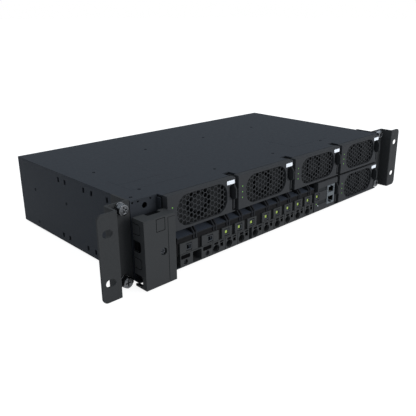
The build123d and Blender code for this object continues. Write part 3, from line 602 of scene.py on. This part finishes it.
def port_contacts(centre_z, way):
    """The row of sprung wires that lean out of one network socket's wall."""
    wall = centre_z - way * PORT_HEIGHT / 2
    edge = wall + way * CONTACT_THICKNESS
    wires = []
    for number in range(CONTACTS):
        x = port_x + (number - (CONTACTS - 1) / 2) * CONTACT_PITCH
        wire = plain_block(
            (x - CONTACT_WIDTH / 2, CONTACT_FRONT, min(wall, edge)),
            (x + CONTACT_WIDTH / 2, CONTACT_BACK, max(wall, edge)),
        )
        push_face(wire, faces_back, 0, (0, CONTACT_REACH, way * CONTACT_LEAN))
        wires.append(wire)
    return wires


linings = []
contacts = []
for way in (-1, 1):
    centre_z = socket_z + way * PORT_SPACING / 2
    linings += port_lining(centre_z)
    contacts += port_contacts(centre_z, way)
finish_group(linings, LINING_EDGE, "network_socket_shade_linings", painted_recess_shade, "controller")
finish_group(contacts, CONTACT_EDGE, "network_socket_contacts", gold, "controller")

# Guard over the breakers, with painted light on its top faces and painted shade on its front lip, and the
# breakers' cases
GUARD_EDGE = 0.12 * MM
GUARD_TOP_FACING = 0.5
GUARD_TOP_AREA = 20 * MM * MM
LIP_FRONT = 0.9 * MM
LIP_BACK = 1.7 * MM
LIP_BOTTOM = -11.2 * MM
LIP_TOP = -5.6 * MM
LIP_EDGE = 0.1 * MM
CASE_EDGE = 0.3 * MM
guard = dressed_copy("guard_rail", "breaker_guard", GUARD_EDGE, guard_grey)
guard.data.materials.append(painted_guard_top_light)
# Large upward faces are painted lighter and bluish for the light that falls on them from above
for face in guard.data.polygons:
    if face.normal.z > GUARD_TOP_FACING and face.area > GUARD_TOP_AREA:
        face.material_index = 1
guard_low, guard_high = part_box("guard_rail")
slab(
    (guard_low.x, LIP_FRONT, LIP_BOTTOM), (guard_high.x, LIP_BACK, LIP_TOP),
    "breaker_guard_lip", painted_lip_shade, "chassis", LIP_EDGE,
)
dressed_copy("large_breakers", "large_breaker_cases", CASE_EDGE)
dressed_copy("small_breakers_left", "small_breaker_cases_left", CASE_EDGE)
dressed_copy("small_breakers_right", "small_breaker_cases_right", CASE_EDGE)

# Fillers painted dark for the shade between the breakers, which run into their cases. The solids leave these
# gaps open.
ROW_LEFT_MM = -158.6
BREAKER_CENTRES_MM = (-144.6, -116.9, -94.0, -75.35, -56.7, -33.4, -14.75, 3.9, 22.55, 41.2)
POCKET_CLEAR_MM = 5.0
FILLER_FRONT = 2.0 * MM
FILLER_BACK = 2.6 * MM
FILLER_BOTTOM = -24.0 * MM
FILLER_TOP = -10.4 * MM
gaps = [(ROW_LEFT_MM, BREAKER_CENTRES_MM[0] - POCKET_CLEAR_MM)]
gaps += [
    (left + POCKET_CLEAR_MM, right - POCKET_CLEAR_MM)
    for left, right in zip(BREAKER_CENTRES_MM, BREAKER_CENTRES_MM[1:])
]
fillers = [
    plain_block((left * MM, FILLER_FRONT, FILLER_BOTTOM), (right * MM, FILLER_BACK, FILLER_TOP))
    for left, right in gaps
]
finish_group(fillers, THIN_EDGE, "breaker_gap_shade_fillers", painted_lip_shade, "chassis")

# Rockers, each with a mark that has a painted glow or a finger slot of painted shade on the floor of its
# dish, and painted light on the ramp below
ROCKER_FACE = 0.25 * MM
ROCKER_BACK = 3.4 * MM
ROCKER_RIM = 1.0 * MM
ROCKER_EDGE = 0.22 * MM
DISH_DEPTH = 1.5 * MM
DISH_RISE = 0.45 * MM
DISH_SCALE = (0.9, 1, 0.72)
RAMP_START = 0.25 * MM
RAMP_UPWARD = 0.25
RAMP_FORWARD = 0.15
MARK_HALF = Vector((1.35 * MM, 0, 1.45 * MM))
MARK_STEP = Vector((0, 0, 0))
MARK_PROUD = Vector((0, 0.35 * MM, 0))
MARK_SUNK = Vector((0, 0.2 * MM, 0))
MARK_EDGE = 0.15 * MM
SLOT_HALF = Vector((1.25 * MM, 0, 2.1 * MM))
SLOT_STEP = Vector((-1.4 * MM, -1.2 * MM, 0.4 * MM))


def rocker(node):
    """A rocker with a finger dish whose floor lies high, so that a long ramp leads out below it."""
    low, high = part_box(node)
    dish_middle = ((low.x + high.x) / 2, 0, (low.z + high.z) / 2 + DISH_RISE)
    piece = plain_block((low.x, ROCKER_FACE, low.z), (high.x, ROCKER_BACK, high.z))
    select_faces(piece, faces_forward)
    bpy.ops.mesh.inset(thickness=ROCKER_RIM, depth=0)
    bpy.ops.mesh.extrude_region_move(TRANSFORM_OT_translate={"value": (0, DISH_DEPTH, DISH_RISE)})
    bpy.ops.transform.resize(value=DISH_SCALE, center_override=dish_middle)
    bpy.ops.object.mode_set(mode="OBJECT")
    round_edges(piece, ROCKER_EDGE)
    finish_piece(piece, f"{node}_rocker", rocker_grey, node, (node,))
    # The ramp's upward, forward faces are painted bluish grey for how the light from above falls on them
    piece.data.materials.append(painted_ramp_light)
    for face in piece.data.polygons:
        place = face.center
        inside = place.y > ROCKER_FACE + RAMP_START and place.z > low.z + ROCKER_RIM / 2
        if inside and face.normal.z > RAMP_UPWARD and face.normal.y < -RAMP_FORWARD:
            face.material_index = 1


small_rockers = [f"small_toggle_{number}" for number in range(1, 9)] + ["controller_toggle"]
large_rockers = ["large_toggle_1", "large_toggle_2"]
for node in small_rockers + large_rockers:
    low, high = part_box(node)
    middle = Vector(((low.x + high.x) / 2, 0, (low.z + high.z) / 2))
    rocker(node)
    # Small rockers get a mark with a painted glow; large ones get a black slot, painted shade of the dish's
    # left wall
    if node in small_rockers:
        half, step, name, finish = MARK_HALF, MARK_STEP, "mark", mark_yellow_with_painted_glow
    else:
        half, step, name, finish = SLOT_HALF, SLOT_STEP, "slot", painted_slot_shade
    floor_y = step + Vector((0, ROCKER_FACE + DISH_DEPTH, 0))
    slab(
        middle - half + floor_y - MARK_PROUD, middle + half + floor_y + MARK_SUNK,
        f"{node}_{name}", finish, node, MARK_EDGE,
    )

# Terminals: mouldings, linings of painted shade in the wire entries and test ports, and clamp screws
LARGE_TERMINAL_EDGE = 0.2 * MM
SMALL_TERMINAL_EDGE = 0.18 * MM
FACE_PROUD = 0.03 * MM
WIRE_RADIUS = 4.2 * MM
WIRE_DEPTH = 14.0 * MM
WIRE_Z = -30.7 * MM
WIRE_PITCH = 18.25 * MM
WIRE_LIP = 0.15 * MM
FUNNEL_DEPTH = 1.2 * MM
FUNNEL_FACE = 1 * MM
FUNNEL_STEP = 0.55 * MM
BORE_DEPTH = 10 * MM
TEST_PORT_OFFSET = 7.1 * MM
TEST_PORT_Z = -28.8 * MM
TEST_PORT_SIZE = 4.6 * MM
TEST_PORT_BACK = 4.0 * MM
TEST_PORT_WALL = 0.12 * MM
TEST_PORT_HOLLOW = 3.6 * MM
dressed_copy("large_terminal_block", "large_terminal_moulding", LARGE_TERMINAL_EDGE, terminal_grey)
dressed_copy("small_terminal_left", "small_terminal_moulding_left", SMALL_TERMINAL_EDGE, terminal_grey)
dressed_copy("small_terminal_right", "small_terminal_moulding_right", SMALL_TERMINAL_EDGE, terminal_grey)


def wire_sleeve(x):
    """The funnel inside one wire entry, closed at its back, painted grey for the shade inside the hole."""
    sleeve = rod(x, WIRE_Z, WIRE_RADIUS, -FACE_PROUD, WIRE_DEPTH, 40)
    push_face(sleeve, faces_forward, WIRE_LIP, (0, FUNNEL_DEPTH, 0))

    def is_funnel_floor(face):
        return faces_forward(face) and face.center.y > FUNNEL_FACE

    push_face(sleeve, is_funnel_floor, FUNNEL_STEP, (0, BORE_DEPTH, 0))
    return sleeve


def port_sleeve(x):
    """The lining of one square test port, painted black for the shade inside it."""
    half = TEST_PORT_SIZE / 2
    sleeve = plain_block(
        (x - half, -FACE_PROUD, TEST_PORT_Z - half), (x + half, TEST_PORT_BACK, TEST_PORT_Z + half)
    )
    push_face(sleeve, faces_forward, TEST_PORT_WALL, (0, TEST_PORT_HOLLOW, 0))
    return sleeve


# Flat plates of painted shade that close the release slots and the large slots at the face. The solids have
# real hollows there.
SLOT_PLATE_BACK = 0.9 * MM
RELEASE_HALF = 2.6 * MM
RELEASE_BOTTOM = -26.2 * MM
RELEASE_TOP = -23.9 * MM
LARGE_SLOT_XS = (-149.1 * MM, -121.2 * MM)
LARGE_SLOT_HALF = 5.6 * MM
LARGE_SLOT_BOTTOM = -28.0 * MM
LARGE_SLOT_TOP = -23.8 * MM
LARGE_SLOT_CORNER = 1.1 * MM


def release_plate(x):
    """The plate of painted shade over one release slot."""
    return plain_block(
        (x - RELEASE_HALF, -FACE_PROUD, RELEASE_BOTTOM), (x + RELEASE_HALF, SLOT_PLATE_BACK, RELEASE_TOP)
    )


WIRES = {
    "left": [-109.0 * MM + WIRE_PITCH * number for number in range(3)],
    "right": [-51.3 * MM + WIRE_PITCH * number for number in range(6)],
}
for side, places in WIRES.items():
    sleeves = [wire_sleeve(x) for x in places]
    finish_group(sleeves, THIN_EDGE, f"wire_entry_shade_sleeves_{side}", painted_hole_shade, "chassis")
    ports = [port_sleeve(x + TEST_PORT_OFFSET) for x in places]
    finish_group(ports, THIN_EDGE, f"test_port_shade_sleeves_{side}", painted_recess_shade, "chassis")
    plates = [release_plate(x) for x in places]
    finish_group(plates, THIN_EDGE, f"release_slot_floors_{side}", painted_recess_shade, "chassis")

CLAMP_XS = (-149.0 * MM, -121.1 * MM)
CLAMP_Z = -31.6 * MM
CLAMP_RADIUS = 2.6 * MM
CLAMP_CLEAR = 0.15 * MM
CLAMP_FRONT = 1.9 * MM
CLAMP_BACK = 4.0 * MM
CLAMP_EDGE = 0.12 * MM
CUT_HALF_LENGTH = 3 * MM
CUT_HALF_WIDTH = 0.35 * MM
CUT_FRONT = 1.0 * MM
CUT_BACK = 2.7 * MM


def clamp_screw(x):
    """A slotted clamp screw deep in its hole."""
    head = rod(x, CLAMP_Z, CLAMP_RADIUS - CLAMP_CLEAR, CLAMP_FRONT, CLAMP_BACK, 28)
    cut_away(head, plain_block(
        (x - CUT_HALF_LENGTH, CUT_FRONT, CLAMP_Z - CUT_HALF_WIDTH),
        (x + CUT_HALF_LENGTH, CUT_BACK, CLAMP_Z + CUT_HALF_WIDTH),
    ))
    round_edges(head, CLAMP_EDGE)
    return head


clamps = joined([clamp_screw(x) for x in CLAMP_XS])
finish_piece(clamps, "clamp_screws", black_steel, "chassis")
for number, x in enumerate(LARGE_SLOT_XS, start=1):
    pad(
        (x - LARGE_SLOT_HALF, -FACE_PROUD, LARGE_SLOT_BOTTOM),
        (x + LARGE_SLOT_HALF, SLOT_PLATE_BACK, LARGE_SLOT_TOP),
        LARGE_SLOT_CORNER, f"large_slot_floor_{number}", painted_recess_shade, "chassis",
    )

# Hex screws of the ears: cross recess, spring washer, flat washer and thread
screw_low, screw_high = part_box("ear_screws")
HEX_RADIUS = 10.0 / math.sqrt(3) * MM
CHAMFER_BACK = 2.6 * MM
CHAMFER_FRONT = 1.3 * MM
CHAMFER_OVER = 0.4 * MM
DISH_RADIUS = 3.3 * MM
HEAD_DISH = 0.35 * MM
HEAD_EDGE = 0.14 * MM
HEAD_CROSS = (2.9 * MM, 0.62 * MM, 1.8 * MM)
SPRING_OUTER = 5.0 * MM
SPRING_INNER = 3.15 * MM
SPRING_CLEAR = 0.05 * MM
SPRING_SLIT = 0.3 * MM
SPRING_EDGE = 0.2 * MM
WASHER_RADIUS = 5.6 * MM
WASHER_INNER = 3.2 * MM
WASHER_CLEAR = 0.02 * MM
WASHER_EDGE = 0.18 * MM
SHANK_RADIUS = 3.0 * MM
SHANK_FRONT = 0.2 * MM
SHANK_START = 0.5 * MM
THREAD_PITCH = 1.0 * MM
THREAD_ROOT = 0.86
WASHER = 1.2 * MM
SPRING = 1.7 * MM
HEAD = 4.0 * MM
SCREW_X = screw_high.x - HEX_RADIUS
SCREW_Z = screw_high.z - WASHER_RADIUS
head_front = screw_low.y
head_back = head_front + HEAD
spring_back = head_back + SPRING
seat = spring_back + WASHER


def cross_recess(piece, x, z, front, arm, width, depth):
    """Cuts a cross into the front of a screw head."""
    for wide, tall in ((arm, width), (width, arm)):
        cut_away(piece, plain_block((x - wide, front - depth, z - tall), (x + wide, front + depth, z + tall)))


def hex_head():
    """The chamfered head with its dished face and cross recess."""
    head = rod(0, 0, HEX_RADIUS, head_front, head_back, 6)
    nothing_selected()
    bpy.ops.mesh.primitive_cone_add(
        vertices=48, radius1=HEX_RADIUS + CHAMFER_BACK, radius2=HEX_RADIUS - CHAMFER_FRONT,
        depth=HEAD + CHAMFER_OVER, location=(0, head_front + HEAD / 2, 0), rotation=(math.pi / 2, 0, 0),
    )
    cone = bpy.context.object
    settle(cone)
    cut_away(head, cone, "INTERSECT")
    dish_floor = head_front + HEAD_DISH
    cut_away(head, rod(0, 0, DISH_RADIUS, head_front - 1 * MM, dish_floor, 32))
    cross_recess(head, 0, 0, dish_floor, *HEAD_CROSS)
    round_edges(head, HEAD_EDGE)
    return head


def threaded_shank():
    """The shank behind the washers, with its thread as a row of grooves."""
    shank = rod(0, 0, SHANK_RADIUS, head_back - SHANK_FRONT, seat + SHANK_START, 24)
    while max(vertex.co.y for vertex in shank.data.vertices) < screw_high.y - THREAD_PITCH:
        for grow in (THREAD_ROOT, 1 / THREAD_ROOT):
            back = max(vertex.co.y for vertex in shank.data.vertices)
            select_faces(shank, lambda face: faces_back(face) and face.center.y > back - 0.01 * MM)
            bpy.ops.mesh.extrude_region_move(TRANSFORM_OT_translate={"value": (0, THREAD_PITCH / 2, 0)})
            bpy.ops.transform.resize(value=(grow, 1, grow), center_override=(0, back, 0))
            bpy.ops.object.mode_set(mode="OBJECT")
    only(shank)
    bpy.ops.object.shade_smooth_by_angle(angle=SMOOTH_ANGLE)
    return shank


def hex_screw():
    """One hex screw at the middle of the panel, facing the front."""
    head = hex_head()
    spring = ring(0, 0, SPRING_OUTER, SPRING_INNER, head_back + SPRING_CLEAR, spring_back - SPRING_CLEAR)
    cut_away(spring, plain_block(
        (SHANK_RADIUS, head_back - 1 * MM, -SPRING_SLIT), (6 * MM, spring_back + 1 * MM, SPRING_SLIT)
    ))
    round_edges(spring, SPRING_EDGE)
    washer = ring(0, 0, WASHER_RADIUS, WASHER_INNER, spring_back, seat - WASHER_CLEAR, 40)
    round_edges(washer, WASHER_EDGE)
    return joined([head, spring, washer, threaded_shank()])


first_screw = hex_screw()
corners = [Vector((x, 0, z)) for x in (-SCREW_X, SCREW_X) for z in (-SCREW_Z, SCREW_Z)]
screws = joined([copy_at(first_screw, corner) for corner in corners])
bpy.data.objects.remove(first_screw)
finish_piece(screws, "ear_hex_screws", steel, "chassis", ("ear_screws",))

# Screw of the AC cover: pan head with a cross recess, deep in the cover's hole
PAN_RADIUS = 2.9 * MM
PAN_HEIGHT = 2.2 * MM
PAN_SHANK = 1.5 * MM
PAN_CROSS = (1.7 * MM, 0.42 * MM, 1.2 * MM)
PAN_EDGE = 0.3 * MM
pan_low, pan_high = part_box("ac_cover_screw")
pan_x = (pan_low.x + pan_high.x) / 2
pan_z = (pan_low.z + pan_high.z) / 2
pan = rod(pan_x, pan_z, PAN_RADIUS, pan_low.y, pan_low.y + PAN_HEIGHT, 32)
push_face(pan, faces_back, PAN_RADIUS - PAN_SHANK, (0, pan_high.y - pan_low.y - PAN_HEIGHT, 0))
cross_recess(pan, pan_x, pan_z, pan_low.y, *PAN_CROSS)
round_edges(pan, PAN_EDGE, 3)
finish_piece(pan, "ac_cover_pan_screw", black_steel, "chassis", ("ac_cover_screw",))

# Chassis, ears and AC cover
SHEET_EDGE = 0.15 * MM
BAY_WALL_EDGE = 0.2 * MM
dressed_copy("chassis_tray", "folded_tray", SHEET_EDGE)
dressed_copy("top_cover", "folded_top", SHEET_EDGE)
dressed_copy("ac_bay_wall", "bay_wall_sheet", BAY_WALL_EDGE)
dressed_copy("ear_left", "left_ear", SHEET_EDGE)
dressed_copy("ear_right", "right_ear", SHEET_EDGE)
dressed_copy("bracket_left", "left_ear_bracket", SHEET_EDGE)
dressed_copy("bracket_right", "right_ear_bracket", SHEET_EDGE)
cover_shell = dressed_copy("ac_cover", "ac_cover_shell", SHEET_EDGE)
cover_low, cover_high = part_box("ac_cover")
cover_shell.data.materials.append(painted_slot_shade)

# The floors of the cover's grooves are painted black for the shade in them
GROOVE = 0.9 * MM
MAIN_AREA = 300 * MM * MM
LEVEL = 0.02 * MM
SAME_LEVEL = 1.5 * LEVEL
MARGIN_ACROSS = 1.5 * MM
MARGIN_UPRIGHT = 1 * MM
MARGIN_FRONT = 2 * MM
MARGIN_BACK = 0.5 * MM


def main_levels(piece, axis):
    """Depths of the large flat faces that look against an axis."""
    areas = {}
    for face in piece.data.polygons:
        if face.normal[axis] < -FACING:
            level = round(face.center[axis] / LEVEL)
            areas[level] = areas.get(level, 0) + face.area
    return [level * LEVEL for level, area in areas.items() if area > MAIN_AREA]


def in_groove(place, axis, levels, edge):
    """Whether a place lies just behind the outer face and on none of the large flat faces."""
    depth = place[axis] - edge
    return SAME_LEVEL < depth < GROOVE and all(abs(place[axis] - level) > SAME_LEVEL for level in levels)


front_levels = main_levels(cover_shell, 1)
side_levels = main_levels(cover_shell, 0)
for face in cover_shell.data.polygons:
    place = face.center
    across = cover_low.x + MARGIN_ACROSS < place.x < cover_high.x - MARGIN_ACROSS
    upright = cover_low.z + MARGIN_UPRIGHT < place.z < cover_high.z - MARGIN_UPRIGHT
    deep = cover_low.y + MARGIN_FRONT < place.y < cover_high.y - MARGIN_BACK
    groove_in_front = across and upright and in_groove(place, 1, front_levels, cover_low.y)
    groove_in_side = deep and upright and in_groove(place, 0, side_levels, cover_low.x)
    if groove_in_front or groove_in_side:
        face.material_index = 1

# Blind rivets on the top and on both sides, painted black all over for the shade in their hollows
RIVET_RADIUS = 1.5 * MM
RIVET_PROUD = 0.12 * MM
RIVET_RIM_SHARE = 0.45
RIVET_HOLLOW_SHARE = 1.5
RIVET_EDGE = 0.04 * MM
RIVET_COLUMNS = (-173.1 * MM, -77.1 * MM, 15.5 * MM, 108.5 * MM)
TOP_RIVETS = [(x, 35.2 * MM) for x in RIVET_COLUMNS] + [(x, 153.8 * MM) for x in RIVET_COLUMNS[1:]]
TOP_RIVETS += [(-173.3 * MM, 112.2 * MM), (-192.0 * MM, 21.9 * MM)]
SIDE_RIVETS = [(126.7 * MM, 7.0 * MM), (194.5 * MM, 7.0 * MM), (194.5 * MM, -31.3 * MM)]


def blind_rivet():
    """One flush blind rivet that points up from the origin, with its hollow middle."""
    nothing_selected()
    bpy.ops.mesh.primitive_cylinder_add(
        vertices=20, radius=RIVET_RADIUS, depth=2 * RIVET_PROUD, location=(0, 0, 0)
    )
    rivet = bpy.context.object
    settle(rivet)
    hollow = (0, 0, -RIVET_HOLLOW_SHARE * RIVET_PROUD)
    push_face(rivet, lambda face: face.normal.z > FACING, RIVET_RADIUS * RIVET_RIM_SHARE, hollow)
    round_edges(rivet, RIVET_EDGE, 1)
    return rivet


first_rivet = blind_rivet()
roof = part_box("top_cover")[1].z
rivets = [copy_at(first_rivet, (x, y, roof)) for x, y in TOP_RIVETS]
finish_piece(joined(rivets), "top_rivets", painted_recess_shade, "chassis")
tray_low, tray_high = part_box("chassis_tray")
for side, edge in (("left", tray_low.x), ("right", tray_high.x)):
    rivets = []
    for y, z in SIDE_RIVETS:
        rivet = copy_at(first_rivet, (0, 0, 0))
        rivet.data.transform(Matrix.Rotation(math.copysign(math.pi / 2, edge), 4, "Y"))
        rivet.data.transform(Matrix.Translation((edge, y, z)))
        rivets.append(rivet)
    finish_piece(joined(rivets), f"side_rivets_{side}", painted_recess_shade, "chassis")
bpy.data.objects.remove(first_rivet)

# Blank plates on the top, painted with it, and the raised rule on the left one
TOP_PLATES = {
    "top_plate_left": ((-180.2 * MM, 38.0 * MM), (-110.7 * MM, 76.0 * MM)),
    "top_plate_right": ((57.0 * MM, 38.0 * MM), (124.5 * MM, 79.0 * MM)),
}
TOP_PLATE_SUNK = 0.1 * MM
TOP_PLATE_PROUD = 0.1 * MM
RULE_FRONT_LEFT = (-180.0 * MM, 59.0 * MM)
RULE_BACK_RIGHT = (-129.0 * MM, 59.5 * MM)
for name, ((left, front), (right, back)) in TOP_PLATES.items():
    slab((left, front, roof - TOP_PLATE_SUNK), (right, back, roof + TOP_PLATE_PROUD),
         name, chassis_paint, "chassis", THIN_EDGE, 1)
slab((*RULE_FRONT_LEFT, roof), (*RULE_BACK_RIGHT, roof + 2 * TOP_PLATE_PROUD),
     "top_plate_left_rule", chassis_paint, "chassis", THIN_EDGE, 1)


# Floor, light and camera

FLOOR_SIZE = 40.0
FLOOR_GAP = 0.0002
FLOOR_GLOW = 0.9
FLOOR_PAPER = 0.3
FLOOR_UNSEEN = 0.7
SKY_COLOUR = (0.84, 0.92, 1.0, 1)
SKY_STRENGTH = 0.5
OBJECT_CENTRE = Vector((0, 0.1, 0))


def grey(share):
    """A neutral colour of this brightness."""
    return (share, share, share, 1)


def white_floor():
    """A white floor that keeps a soft shadow."""
    made = bpy.data.materials.new("white floor")
    made.use_nodes = True
    tree = made.node_tree
    tree.nodes.clear()
    out = tree.nodes.new("ShaderNodeOutputMaterial")
    rays = tree.nodes.new("ShaderNodeLightPath")
    paper = tree.nodes.new("ShaderNodeBsdfDiffuse")
    paper.inputs["Color"].default_value = grey(FLOOR_PAPER)
    glow = tree.nodes.new("ShaderNodeEmission")
    glow.inputs["Strength"].default_value = FLOOR_GLOW
    seen = tree.nodes.new("ShaderNodeAddShader")
    tree.links.new(paper.outputs["BSDF"], seen.inputs[0])
    tree.links.new(glow.outputs["Emission"], seen.inputs[1])
    plain = tree.nodes.new("ShaderNodeBsdfDiffuse")
    plain.inputs["Color"].default_value = grey(FLOOR_UNSEEN)
    mirrored = tree.nodes.new("ShaderNodeMath")
    mirrored.operation = "MAXIMUM"
    tree.links.new(rays.outputs["Is Camera Ray"], mirrored.inputs[0])
    tree.links.new(rays.outputs["Is Glossy Ray"], mirrored.inputs[1])
    choice = tree.nodes.new("ShaderNodeMixShader")
    tree.links.new(mirrored.outputs["Value"], choice.inputs["Fac"])
    tree.links.new(plain.outputs["BSDF"], choice.inputs[1])
    tree.links.new(seen.outputs["Shader"], choice.inputs[2])
    tree.links.new(choice.outputs["Shader"], out.inputs["Surface"])
    return made


nothing_selected()
bpy.ops.mesh.primitive_plane_add(size=FLOOR_SIZE, location=(0, 0, cad_box[0].z - FLOOR_GAP))
floor = bpy.context.object
floor.name = "floor"
floor.data.materials.append(white_floor())

world = bpy.data.worlds.new("studio")
bpy.context.scene.world = world
world.use_nodes = True
sky = world.node_tree
background = sky.nodes["Background"]
background.inputs["Color"].default_value = SKY_COLOUR
background.inputs["Strength"].default_value = SKY_STRENGTH
white = sky.nodes.new("ShaderNodeBackground")
white.inputs["Color"].default_value = grey(1)
rays = sky.nodes.new("ShaderNodeLightPath")
pick = sky.nodes.new("ShaderNodeMixShader")
sky.links.new(rays.outputs["Is Camera Ray"], pick.inputs["Fac"])
sky.links.new(background.outputs["Background"], pick.inputs[1])
sky.links.new(white.outputs["Background"], pick.inputs[2])
sky.links.new(pick.outputs["Shader"], sky.nodes["World Output"].inputs["Surface"])


def softbox(name, place, size, power, colour=(1, 1, 1)):
    """A square area lamp that points at the object."""
    light = bpy.data.lights.new(name, "AREA")
    light.shape = "SQUARE"
    light.size = size
    light.energy = power
    light.color = colour
    holder = bpy.data.objects.new(name, light)
    bpy.context.scene.collection.objects.link(holder)
    holder.location = place
    holder.rotation_euler = (OBJECT_CENTRE - Vector(place)).to_track_quat("-Z", "Y").to_euler()


OVERHEAD_COLOUR = (0.9, 0.96, 1.0)
softbox("front softbox", (0.5, -1.6, 0.5), 1.2, 21.5)
softbox("overhead softbox", (0.1, 0.75, 1.6), 1.4, 11.5, OVERHEAD_COLOUR)

# The camera that was fitted to the photograph
CAMERA_PLACE = (-0.44625, -0.35193, 0.1910)
CAMERA_RIGHT = (0.710464, -0.703733, -0.000389)
CAMERA_UP = (0.230298, 0.231977, 0.945066)
CAMERA_BACK = (-0.664984, -0.671525, 0.326880)
SENSOR_WIDTH = 36
FOCAL_LENGTH = 46.30
LENS_SHIFT = (-0.0393, -0.0237)
lens = bpy.data.cameras.new("camera")
lens.sensor_width = SENSOR_WIDTH
lens.lens = FOCAL_LENGTH
lens.shift_x, lens.shift_y = LENS_SHIFT
lens.clip_start = 0.01
camera = bpy.data.objects.new("camera", lens)
bpy.context.scene.collection.objects.link(camera)
turn = Matrix((CAMERA_RIGHT, CAMERA_UP, CAMERA_BACK)).transposed()
camera.matrix_world = Matrix.Translation(CAMERA_PLACE) @ turn.to_4x4()
bpy.context.scene.camera = camera
bpy.context.scene.view_settings.view_transform = "Standard"

nothing_selected()
